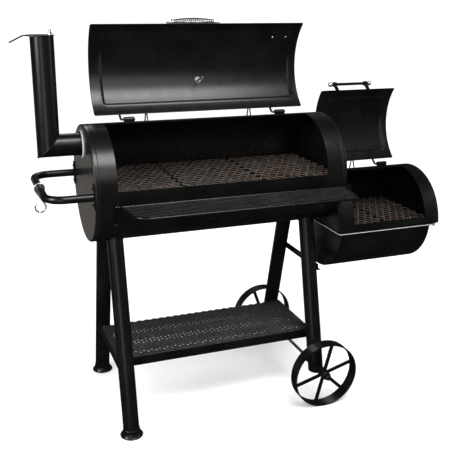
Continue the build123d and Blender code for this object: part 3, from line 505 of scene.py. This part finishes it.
def lid_form(x0, x1, radius, z_centre, rear, front, panel_rear, panel_front):
    """Rolled lid sheet with round corners and a softly pressed panel, in its closed place.

    rear and front are the angles of its long edges, panel_rear and panel_front those of its panel.
    """
    outer = radius + LID_GAP + LID_SHEET
    per_degree = math.radians(outer)
    a0, a1 = rear * per_degree, front * per_degree
    pa0, pa1 = panel_rear * per_degree, panel_front * per_degree
    px0, px1 = x0 + PANEL_BORDER, x1 - PANEL_BORDER + PANEL_SHIFT
    x_marks = [x0 + e for e in EDGE_MARKS] + [x1 - e for e in EDGE_MARKS]
    x_marks += [px0 + m for m in PANEL_MARKS] + [px1 - m for m in PANEL_MARKS]
    a_marks = [a0 + e for e in EDGE_MARKS] + [a1 - e for e in EDGE_MARKS]
    a_marks += [pa0 + m for m in PANEL_MARKS] + [pa1 - m for m in PANEL_MARKS]
    xs = stations(x0, x1, x_marks, GRID_ALONG)
    arcs = stations(a0, a1, a_marks, GRID_ROUND)
    middle_x, middle_a = (x0 + x1) / 2, (a0 + a1) / 2
    half_x, half_a = (x1 - x0) / 2, (a1 - a0) / 2

    def layer(offset, shrink):
        """The grid's points, offset in from the sheet's outside and shrunk in from its edges."""
        rows = []
        for a in arcs:
            row = []
            for x in xs:
                drop = panel_drop(min(x - px0, px1 - x), min(a - pa0, pa1 - a))
                fx, fa = round_corner(x, a, middle_x, middle_a, half_x, half_a, LID_CORNER)
                fx = middle_x + (fx - middle_x) * (1 - shrink / half_x)
                fa = middle_a + (fa - middle_a) * (1 - shrink / half_a)
                y, z = polar(outer - offset - drop, fa / per_degree, z_centre)
                row.append(Vector((fx, y, z)))
            rows.append(row)
        return rows

    top = layer(0.0, EDGE_EASE)
    low = layer(LID_SHEET, EDGE_EASE)
    columns = len(xs)
    rows = len(arcs)
    form = Form()
    for rows_of, flip in ((top, False), (low, True)):
        verts = [v for row in rows_of for v in row]
        faces = []
        for i in range(rows - 1):
            for j in range(columns - 1):
                k = i * columns + j
                quad = [k, k + 1, k + columns + 1, k + columns]
                faces.append(quad[::-1] if flip else quad)
        form.add(verts, faces)
    rim = [(0, j) for j in range(columns - 1)] + [(i, columns - 1) for i in range(rows - 1)]
    rim += [(rows - 1, j) for j in range(columns - 1, 0, -1)] + [(i, 0) for i in range(rows - 1, 0, -1)]
    middle_layer = layer(LID_SHEET / 2, 0.0)
    loops = [[grid[i][j] for i, j in rim] for grid in (top, middle_layer, low)]
    count = len(rim)
    verts = [v for loop in loops for v in loop]
    faces = []
    for level in range(2):
        for j in range(count):
            k = (j + 1) % count
            a = level * count
            faces.append([a + j, a + k, a + count + k, a + count + j])
    form.add(verts, faces)
    return form


def weld_seams(piece):
    """Joins a piece's vertices that lie on each other."""
    shape = bmesh.new()
    shape.from_mesh(piece.data)
    bmesh.ops.remove_doubles(shape, verts=shape.verts, dist=WELD_DISTANCE)
    bmesh.ops.recalc_face_normals(shape, faces=shape.faces)
    shape.to_mesh(piece.data)
    shape.free()


def add_lids(materials):
    """Both lid sheets, modelled closed and turned open."""
    main = lid_form(
        x0=57.0, x1=852.0, radius=BARREL_R, z_centre=0.0,
        rear=82.2, front=178.4, panel_rear=93.2, panel_front=168.0,
    )
    small = lid_form(
        x0=951.0, x1=1283.0, radius=FIREBOX_R, z_centre=FIREBOX_Z,
        rear=83.0, front=170.6, panel_rear=93.2, panel_front=161.0,
    )
    for form, body in ((main, "lid"), (small, "firebox_lid")):
        piece = finish_piece(
            body + "_sheet", form, body, "black_paint", materials,
            [body + "_shell"], opened(body + "_hinge"), 50,
        )
        weld_seams(piece)


def add_coil(materials):
    """Barrel-shaped spring of round wire, between the grip rod's two washers."""
    wire = 2.35
    turns = 19
    steps = 18
    end_radius, bulge, roundness = 7.6, 6.0, 0.8
    y, z = polar(BARREL_R + LID_GAP + LID_SHEET + COIL_HEIGHT, COIL_ANGLE)
    gap = wire + 0.5
    lead = (COIL_X1 - COIL_X0 - 2 * gap) / turns
    points = []
    for i in range(turns * steps + 1):
        t = i / (turns * steps)
        radius = end_radius + bulge * math.sin(math.pi * t) ** roundness
        a = 2 * math.pi * i / steps
        x = COIL_X0 + gap + lead * i / steps
        points.append((x, y + radius * math.cos(a), z + radius * math.sin(a)))
    form = Form()
    tube(form, points, wire, 10)
    finish_piece(
        "lid_coil_spring", form, "lid", "gauge_steel", materials,
        ["lid_handle_coil"], opened("lid_hinge"), 60,
    )


# ---------------------------------------------------------------- expanded metal
GRATE_CELL = (29.6, 50.0)
MESH_CELL = (30.0, 18.0)
FRAME_BAR = 5.0
BAR_EASE = 0.6
BOND_SHARE = 0.16
BOND_OVERLAP = 0.28


def strand(form, points, across, up, half_w, half_t):
    """One twisted strand: a flat ribbon with eased edges that follows the points."""
    section = ribbon_section(half_w, half_t, half_t * 0.5)
    rings = [[Vector(p) + across * a + up * b for a, b in section] for p in points]
    rings_to_faces(form, rings, False)


def expanded_metal(form, x0, x1, y0, y1, z, cell, strand_w, strand_t, tilt, lift=0.0, reach=None):
    """Raised expanded metal: zigzag strands that meet at bonds, all leaning the same way.

    The strands run along the cell's longer side, and lift is how far a strand's bends rise and
    dip. reach(y) narrows the sheet's X span at y.
    """
    along_x = cell[0] > cell[1]
    u0, u1, v0, v1 = (x0, x1, y0, y1) if along_x else (y0, y1, x0, x1)
    long_way, short_way = max(cell), min(cell)
    rows = max(1, round((v1 - v0) / (short_way / 2)))
    pitch = (v1 - v0) / rows
    steps = max(2, round((u1 - u0) / (long_way / 2)))
    step = (u1 - u0) / steps
    bond = step * BOND_SHARE
    lean = math.radians(tilt)
    swing = pitch / 2 - strand_w * math.cos(lean) * BOND_OVERLAP
    side = math.cos(lean)
    rise = math.sin(lean)
    across = Vector((0, side, rise)) if along_x else Vector((side, 0, rise))
    up = Vector((0, -rise, side)) if along_x else Vector((-rise, 0, side))
    for row in range(rows):
        centre = v0 + (row + 0.5) * pitch
        points = []
        for k in range(steps + 1):
            bend = 1 if (k + row) % 2 else -1
            for u in (u0 + k * step - bond, u0 + k * step + bond):
                points.append((min(max(u, u0), u1), centre + swing * bend, z + lift * bend))
        if not along_x:
            spots = [(v, u, w) for u, v, w in points]
        else:
            spots = points
            if reach is not None:
                spots = [p for p in spots if reach(p[1])[0] < p[0] < reach(p[1])[1]]
                first, last = spots[0], spots[-1]
                spots = [(reach(first[1])[0], first[1], z)] + spots + [(reach(last[1])[1], last[1], z)]
        strand(form, spots, across, up, strand_w / 2, strand_t / 2)


def frame_bars(form, x0, x1, y0, y1, z0, z1, width):
    """Four flat bars round a rectangle, inside its edges."""
    z = (z0 + z1) / 2
    half_h = (z1 - z0) / 2
    half = width / 2
    for y in (y0 + half, y1 - half):
        bar(form, (x0, y, z), (x1, y, z), half, half_h, (0, 1, 0), (0, 0, 1), BAR_EASE)
    for x in (x0 + half, x1 - half):
        bar(form, (x, y0 + width, z), (x, y1 - width, z), half, half_h, (1, 0, 0), (0, 0, 1), BAR_EASE)


def add_grates(materials):
    """Cooking and firebox grates: bare expanded metal on a dark frame of flat bars."""
    mesh_depth, frame_depth = 2.0, 3.4
    grates = ("grate_left", "grate_middle", "grate_right", "firebox_grate_left", "firebox_grate_right")
    for node in grates:
        low, high = node_span(node)
        form = Form()
        expanded_metal(
            form, low.x + 4, high.x - 4, low.y + 2, high.y - 2, high.z - mesh_depth,
            GRATE_CELL, strand_w=4.2, strand_t=1.8, tilt=24.0, lift=1.2,
        )
        finish_piece(node + "_mesh", form, "smoker", "grate_steel", materials, [node])
        form = Form()
        top = high.z - frame_depth
        frame_bars(form, low.x, high.x, low.y, high.y, low.z, top, FRAME_BAR)
        middle = (low.x + high.x) / 2
        z = (low.z + top) / 2
        ends = [(middle, y, z) for y in (low.y + 6, high.y - 6)]
        bar(form, *ends, 2.0, (top - low.z) / 2, (1, 0, 0), (0, 0, 1), BAR_EASE)
        finish_piece(node + "_bars", form, "smoker", "black_mesh", materials, [node])


def add_rack_mesh(materials):
    """Lower rack: expanded metal with a border and three ribs along it."""
    mesh_height = 2.4
    rib_half_w, rib_half_h, rib_inset = 3.0, 2.2, 5
    low, high = node_span("rack_mesh")
    form = Form()
    z = low.z + mesh_height
    expanded_metal(
        form, low.x + 1, high.x - 1, low.y + 1, high.y - 1, z,
        MESH_CELL, strand_w=6.3, strand_t=1.6, tilt=49.0,
    )
    frame_bars(form, low.x, high.x, low.y, high.y, low.z, z, FRAME_BAR)
    for share in (0.25, 0.5, 0.75):
        y = low.y + (high.y - low.y) * share
        ends = [(x, y, z) for x in (low.x + rib_inset, high.x - rib_inset)]
        bar(form, *ends, rib_half_w, rib_half_h, (0, 1, 0), (0, 0, 1), 0.8)
    finish_piece("rack_expanded_metal", form, "smoker", "black_mesh", materials, ["rack_mesh"])


def bend_inset(radius, y):
    """How far a bend of the shelf's front corner reaches in at a given Y."""
    depth = SHELF_FRONT_Y + radius - y
    if depth <= 0:
        return 0.0
    return radius - math.sqrt(max(radius * radius - depth * depth, 0.0))


def shelf_reach(y):
    """Lowest and highest X between the shelf's rods at a given Y.

    The rods close in towards the front, and each front corner is a round bend.
    """
    t = (SHELF_BACK_Y - y) / (SHELF_BACK_Y - SHELF_FRONT_Y)
    left = 80.0 + 18.0 * t
    right = 906.0 - 34.0 * t
    left_bend, right_bend = 58.0, 18.0
    return left + bend_inset(left_bend, y), right - bend_inset(right_bend, y)


def add_shelf_mesh(materials):
    """Front shelf: expanded metal between its rods."""
    low, high = node_span("shelf_mesh")
    form = Form()
    z = (low.z + high.z) / 2
    expanded_metal(
        form, low.x, high.x, low.y + 1, high.y + 1, z,
        MESH_CELL, strand_w=4.8, strand_t=1.6, tilt=-38.0, reach=shelf_reach,
    )
    finish_piece("shelf_expanded_metal", form, "shelf", "black_mesh", materials, ["shelf_mesh"])


# ---------------------------------------------------------------- fasteners
def domed_bolt(form, centre, axis, radius, height):
    """Mushroom head on a thin washer."""
    profile = [(0, 0), (radius * 1.25, 0), (radius * 1.25, 0.8), (radius, 1.0)]
    steps = 6
    for i in range(1, steps + 1):
        a = math.pi / 2 * i / steps
        profile.append((radius * math.cos(a), 1.0 + (height - 1.0) * math.sin(a)))
    lathe(form, centre, axis, profile, BOLT_SIDES)


def hex_bolt(form, centre, axis, radius, height):
    """Hexagon head with a chamfered top, on a washer."""
    lathe(form, centre, axis, [(0, 0), (radius * 1.3, 0), (radius * 1.3, 1.0), (0, 1.0)], BOLT_SIDES)
    profile = [(0, 0.9), (radius, 0.9), (radius, height - 0.9), (radius * 0.86, height), (0, height)]
    lathe(form, centre, axis, profile, 6)


def leg_y(z):
    """How far a leg's axis stands from the middle at a given height."""
    return LEG_TOP_Y + (LEG_TOP_Z - z) * LEG_SPLAY


def add_frame_bolts(materials):
    """Bolts of the cross brace, of the lower rack and of the firebox's flange."""
    rack_bolt_y, rack_inset = 152.5, 16
    lip_bolt_y, lip_left, lip_right = 196, 10, 20
    form = Form()
    brace_low, brace_high = node_span("leg_brace")
    rack_low, rack_high = node_span("rack_frame")
    lip_low, lip_high = node_span("firebox_lip")
    brace_z = (brace_low.z + brace_high.z) / 2 + 2
    for side in (-1, 1):
        hex_bolt(form, (brace_low.x + 3, side * leg_y(brace_z - 2), brace_z), (1, 0, 0), 6.5, 5.0)
        for x in (rack_low.x + rack_inset, rack_high.x - rack_inset):
            domed_bolt(form, (x, side * rack_bolt_y, rack_high.z), (0, 0, 1), 5.2, 4.6)
        for x in (lip_low.x + lip_left, lip_high.x - lip_right):
            hex_bolt(form, (x, side * lip_bolt_y, lip_low.z), (0, 0, -1), 5.5, 5.0)
    finish_piece("frame_bolt_heads", form, "smoker", "black_paint", materials, ["frame_bolts"])


def add_barrel_bolts(materials):
    """Bolts of the shelf's two side plates and of the side handle's two plates."""
    handle_y, handle_dz, plate_face = 180, 27, -4.0
    form = Form()
    for node, direction in (("shelf_plate_left", -1), ("shelf_plate_right", 1)):
        low, high = node_span(node)
        face = low.x if direction < 0 else high.x
        y = low.y + 17 + (high.y - low.y) * 0.18
        domed_bolt(form, (face, y, low.z + 13), (direction, 0, 0), 5.0, 6.0)
    for y in (-handle_y, handle_y):
        for dz in (-handle_dz, handle_dz):
            domed_bolt(form, (plate_face, y, HANDLE_Z + dz), (-1, 0, 0), 4.2, 4.0)
    finish_piece("barrel_bolt_heads", form, "smoker", "black_paint", materials, ["barrel_bolts"])


def add_lid_bolts(materials):
    """Heads and nuts on the firebox lid, and the small screws inside the main lid."""
    outside = FIREBOX_R + LID_GAP + LID_SHEET - PANEL_DEPTH
    inside = FIREBOX_R + LID_GAP - PANEL_DEPTH
    form = Form()
    for x, angle in ((1060, 150.5), (1180, 150.5), (1122, 97.5)):
        out = Vector((0, *polar(1, angle)))
        base = Vector((x, 0, FIREBOX_Z))
        domed_bolt(form, base + out * outside, out, 5.6, 4.0)
        hex_bolt(form, base + out * inside, -out, 5.0, 4.2)
    finish_piece(
        "firebox_lid_bolt_heads", form, "firebox_lid", "black_paint", materials,
        ["firebox_lid_bolts"], opened("firebox_lid_hinge"),
    )
    inside = BARREL_R + LID_GAP - PANEL_DEPTH
    badge_screws = [(BADGE_X + dx, BADGE_ANGLE) for dx in (-BADGE_SCREW, BADGE_SCREW)]
    form = Form()
    for x, angle in (*badge_screws, (471.5, 118.0)):
        out = Vector((0, *polar(1, angle)))
        domed_bolt(form, Vector((x, 0, 0)) + out * inside, -out, 3.2, 2.8)
    finish_piece("lid_screw_heads", form, "lid", "chrome", materials, ["lid_screws"], opened("lid_hinge"))


# ---------------------------------------------------------------- welds and trim
def bead(form, points, radius, seed):
    """Weld bead along a closed line: a rippled, slightly uneven roll."""
    ripple, turn, scatter = 0.16, 1.9, 0.08
    dice = random.Random(seed)
    radii = []
    for i in range(len(points)):
        radii.append(radius * (1 + ripple * math.sin(i * turn) + dice.uniform(-scatter, scatter)))
    tube(form, points, radii, 8, True)


def leg_joint(x, side, count):
    """Closed line where a leg meets the underside of the barrel."""
    axis = Vector((0, -side * LEG_SPLAY, 1)).normalized()
    base = Vector((x, side * LEG_TOP_Y, LEG_TOP_Z))
    across = Vector((1, 0, 0))
    other = axis.cross(across)
    points = []
    for k in range(count):
        a = 2 * math.pi * k / count
        start = base + (across * math.cos(a) + other * math.sin(a)) * LEG_R
        b = start.y * axis.y + start.z * axis.z
        c = start.y ** 2 + start.z ** 2 - BARREL_R ** 2
        d = axis.y ** 2 + axis.z ** 2
        t = (-b - math.sqrt(b * b - d * c)) / d
        points.append(start + axis * t)
    return points


def add_welds(materials):
    """Weld beads where the legs meet the barrel, and round the chimney's mitre."""
    leg_bead, mitre_bead = 2.6, 1.5
    form = Form()
    joints = [(x, side) for x in LEG_X for side in (-1, 1)]
    for number, (x, side) in enumerate(joints):
        bead(form, leg_joint(x, side, 64), leg_bead, number)
    count = 72
    mitre = []
    for k in range(count):
        t = 2 * math.pi * k / count
        dx, dy = PIPE_R * math.cos(t), PIPE_R * math.sin(t)
        mitre.append((STACK_X + dx, FLUE_Y + dy, FLUE_Z + dx))
    bead(form, mitre, mitre_bead, 11)
    finish_piece("weld_beads", form, "smoker", "black_paint", materials, sharp=60)


def rounded_outline(x0, x1, y0, y1, corners, steps):
    """Closed line round a rectangle; corners are the radii at (x0,y0), (x1,y0), (x1,y1), (x0,y1)."""
    spots = ((x0, y0, 1, 1, 180), (x1, y0, -1, 1, 270), (x1, y1, -1, -1, 0), (x0, y1, 1, -1, 90))
    points = []
    for (x, y, dx, dy, start), radius in zip(spots, corners):
        cx, cy = x + dx * radius, y + dy * radius
        for i in range(steps + 1):
            a = math.radians(start + 90 * i / steps)
            points.append((cx + radius * math.cos(a), cy + radius * math.sin(a)))
    return points


def flange(form, outline, hole, profile):
    """Rim between an outline and a rectangular hole.

    profile is (distance in from the outline, height) pairs; None stands for the hole's edge.
    """
    count = len(outline)
    x0, x1, y0, y1 = hole
    rings = []
    for i in range(count):
        x, y = outline[i]
        ax, ay = outline[i - 1]
        bx, by = outline[(i + 1) % count]
        out = Vector((by - ay, ax - bx, 0)).normalized()
        inner = Vector((min(max(x, x0), x1), min(max(y, y0), y1), 0))
        spots = [inner if d is None else Vector((x, y, 0)) - out * d for d, z in profile]
        rings.append([spot + Vector((0, 0, z)) for spot, (d, z) in zip(spots, profile)])
    rings_to_faces(form, rings, True)


def add_lip(materials):
    """The firebox's two painted flanges, with a bright bare-metal strip between them that is a painted highlight
    along their edge.
    """
    low, high = node_span("firebox_lip")
    outline = rounded_outline(low.x, high.x, low.y, high.y, (8, 34, 34, 8), 8)
    middle = (low.z + high.z) / 2 + 0.6
    half_highlight, highlight_depth = 0.9, 4
    inset, ease = 1.2, 0.7
    form = Form()
    for z0, z1 in ((low.z, middle - half_highlight), (middle + half_highlight, high.z)):
        profile = [(inset, z0), (None, z0), (None, z1)]
        profile += [(inset, z1), (inset - ease, z1 - ease), (inset - ease, z0 + ease)]
        flange(form, outline, FIREBOX_HOLE, profile)
    finish_piece("firebox_flanges", form, "smoker", "black_paint", materials, ["firebox_lip"])
    # The bright strip between the flanges is a painted highlight: a light metal band in place of the glint along
    # their edge.
    form = Form()
    z0, z1 = middle - half_highlight, middle + half_highlight
    flange(form, outline, FIREBOX_HOLE, [(0.0, z0), (highlight_depth, z0), (highlight_depth, z1), (0.0, z1)])
    finish_piece("firebox_painted_highlight", form, "smoker", "bare_lip", materials)


def add_collar(materials):
    """Painted ring round the flue where it meets the barrel's end, with a bright outer edge that is a painted
    highlight.
    """
    centre = (0, FLUE_Y, FLUE_Z)
    out = (-1, 0, 0)
    outer, thick = PIPE_R + 9, 4.0
    inner = PIPE_R - 1
    form = Form()
    profile = [(inner, 0), (outer - 1.6, 0), (outer - 1.6, thick), (inner, thick)]
    lathe(form, centre, out, profile, DISC_SIDES)
    finish_piece("flue_collar_ring", form, "smoker", "end_paint", materials, ["flue_collar"])
    # The bright outer edge is a painted highlight: a light metal band in place of the glint on the collar's rim.
    form = Form()
    profile = [(outer - 1.7, 0), (outer, 0), (outer, thick - 0.6), (outer - 0.6, thick), (outer - 1.7, thick)]
    lathe(form, centre, out, profile, DISC_SIDES)
    finish_piece("flue_collar_painted_highlight", form, "smoker", "bare_lip", materials, ["flue_collar"])


def add_feet(materials):
    """Flared collars that the left legs stand in."""
    brim, steps, curve = 4.6, 8, 2.2
    for node in ("foot_front", "foot_back"):
        low, high = node_span(node)
        centre = ((low.x + high.x) / 2, (low.y + high.y) / 2, low.z)
        outer = (high.x - low.x) / 2
        height = high.z - low.z
        profile = [(0, 0), (outer - 1.5, 0), (outer, 1.2), (outer, 3.4), (outer - 1.4, brim)]
        for i in range(1, steps + 1):
            t = i / steps
            flare = (outer - 1.4 - LEG_R - 1.2) * (1 - t) ** curve
            profile.append((LEG_R + 1.2 + flare, brim + (height - brim - 1) * t))
        profile += [(LEG_R + 0.4, height), (0, height)]
        form = Form()
        lathe(form, centre, (0, 0, 1), profile, FOOT_SIDES)
        finish_piece(node + "_collar", form, "smoker", "black_paint", materials, [node])


# ---------------------------------------------------------------- gauge, badge, damper bolt
def add_gauge_dial(materials, pose, base, out, radius, front):
    """Plain dial with ticks, a needle and its cap."""
    side = Vector((1, 0, 0))
    up = out.cross(side)
    face = Form()
    disc = radius - 5.2
    z0, z1 = front - 3.5, front - 3.0
    lathe(face, base, out, [(0, z0), (disc, z0), (disc, z1), (0, z1)], DISC_SIDES)
    marks = Form()
    level = base + out * (front - 2.8)
    ticks, first_angle, sweep = 24, 225, 270
    tip = radius - 8
    for k in range(ticks + 1):
        a = math.radians(first_angle - sweep * k / ticks)
        ray = side * math.cos(a) + up * math.sin(a)
        length, half_w = (6.0, 0.55) if k % 4 == 0 else (3.4, 0.35)
        bar(marks, level + ray * (tip - length), level + ray * tip, half_w, 0.2, out.cross(ray), out, 0.05)
    needle = math.radians(200)
    ray = side * math.cos(needle) + up * math.sin(needle)
    bar(marks, level - ray * 6, level + ray * 23, 0.8, 0.4, out.cross(ray), out, 0.1)
    lathe(marks, level, out, [(0, 0), (3.2, 0), (2.8, 1.2), (0, 1.6)], BOLT_SIDES)
    pale = paint_material("dial_face", (0.62, 0.61, 0.57), (0.7, 0.69, 0.66), 0.35, 0.45)
    dark = paint_material("dial_marks", grey(0.01), grey(0.03), 0.4, 0.5)
    for name, shape, paint in (("gauge_dial", face, pale), ("gauge_marks", marks, dark)):
        piece = finish_piece(name, shape, "lid", "gauge_steel", materials, (), pose)
        piece.data.materials.clear()
        piece.data.materials.append(paint)


def add_gauge(materials):
    """Round thermometer through the lid: a case with a bezel outside, a nut and a stem inside."""
    out = Vector((0, *polar(1, GAUGE_ANGLE)))
    across = Vector((GAUGE_X, 0, 0))
    base = across + out * (BARREL_R + LID_GAP + LID_SHEET)
    inner = across + out * (BARREL_R + LID_GAP - PANEL_DEPTH)
    radius, neck = 36.0, 9
    back, front = 4.0, 19.0
    case = [(0, -PANEL_DEPTH), (neck, -PANEL_DEPTH), (neck, back), (radius - 3, back)]
    case += [(radius - 1, back + 1.5), (radius, back + 5)]
    case += [(radius, front - 4), (radius - 1, front - 1), (radius - 2.5, front)]
    case += [(radius - 4.5, front - 0.6), (radius - 5, front - 3.4), (0, front - 3.4)]
    form = Form()
    lathe(form, base, out, case, DISC_SIDES)
    hex_bolt(form, inner, -out, 9.0, 7.5)
    lathe(form, inner, -out, [(0, 7), (3.2, 7), (3.2, 52), (2.0, 54.5), (0, 54.8)], BOLT_SIDES)
    pose = opened("lid_hinge")
    finish_piece("gauge_case", form, "lid", "gauge_steel", materials, ["lid_gauge"], pose)
    add_gauge_dial(materials, pose, base, out, radius, front)


def add_badge(materials):
    """Blank curved plate with rounded corners and two rivets."""
    seat = BARREL_R + LID_GAP + LID_SHEET - PANEL_DEPTH
    half_x, half_a, corner = 46.0, 18.0, 5.0
    lines = [-1.0, -0.96, -0.9] + [-0.75 + 1.5 * k / 4 for k in range(5)] + [0.9, 0.96, 1.0]
    count = len(lines) - 1
    layers = []
    for offset, shrink in ((0.0, 0.0), (1.0, 0.0), (1.6, 0.7)):
        rows = []
        for line_a in lines:
            row = []
            for line_x in lines:
                px, pa = round_corner(line_x * half_x, line_a * half_a, 0, 0, half_x, half_a, corner)
                px *= 1 - shrink / half_x
                pa *= 1 - shrink / half_a
                y, z = polar(seat + offset, BADGE_ANGLE + math.degrees(pa / seat))
                row.append(Vector((BADGE_X + px, y, z)))
            rows.append(row)
        layers.append(rows)
    form = Form()
    edge = [(0, j) for j in range(count)] + [(i, count) for i in range(count)]
    edge += [(count, j) for j in range(count, 0, -1)] + [(i, 0) for i in range(count, 0, -1)]
    rings_to_faces(form, [[rows[i][j] for i, j in edge] for rows in layers], False, False)
    for rows in (layers[0], layers[-1]):
        verts = [v for row in rows for v in row]
        faces = []
        for i in range(count):
            for j in range(count):
                k = i * (count + 1) + j
                faces.append([k, k + 1, k + count + 2, k + count + 1])
        form.add(verts, faces)
    out = Vector((0, *polar(1, BADGE_ANGLE)))
    for dx in (-BADGE_SCREW, BADGE_SCREW):
        domed_bolt(form, Vector((BADGE_X + dx, 0, 0)) + out * (seat + 1.4), out, 2.6, 1.8)
    piece = finish_piece(
        "badge_blank", form, "lid", "badge_plate", materials, ["lid_badge"], opened("lid_hinge")
    )
    weld_seams(piece)


def add_damper_bolt(materials):
    """Wing nut on a stud through the damper plate."""
    low, high = node_span("damper_bolt")
    x, y = (low.x + high.x) / 2, (low.y + high.y) / 2
    height = high.z - low.z
    top = STACK_TOP + DAMPER_GAP + DAMPER_SHEET + DAMPER_GAP
    up = (0, 0, 1)
    form = Form()
    lathe(form, (x, y, low.z), up, [(0, 0), (4, 0), (4, height - 1), (3.2, height), (0, height)], STUD_SIDES)
    lathe(form, (x, y, top), up, [(0, 0), (7, 0), (6.6, 3), (5.2, 8), (4.4, 8.6), (0, 8.6)], STUD_SIDES)
    tilt = math.radians(38)
    for side in (-1, 1):
        start = Vector((x, y + side * 3, top + 4.0))
        lean = Vector((0, side * math.cos(tilt), math.sin(tilt)))
        normal = Vector((0, -lean.z * side, abs(lean.y)))
        bar(form, start, start + lean * 13, 1.4, 3.6, (1, 0, 0), normal, 0.9)
    finish_piece("damper_wing_nut", form, "smoker", "chrome", materials, ["damper_bolt"])


add_camera()
add_studio()
MATERIALS = make_materials()
paint_nodes(MATERIALS)
add_lids(MATERIALS)
add_coil(MATERIALS)
add_grates(MATERIALS)
add_rack_mesh(MATERIALS)
add_shelf_mesh(MATERIALS)
add_frame_bolts(MATERIALS)
add_barrel_bolts(MATERIALS)
add_lid_bolts(MATERIALS)
add_welds(MATERIALS)
add_lip(MATERIALS)
add_collar(MATERIALS)
add_feet(MATERIALS)
add_gauge(MATERIALS)
add_badge(MATERIALS)
add_damper_bolt(MATERIALS)
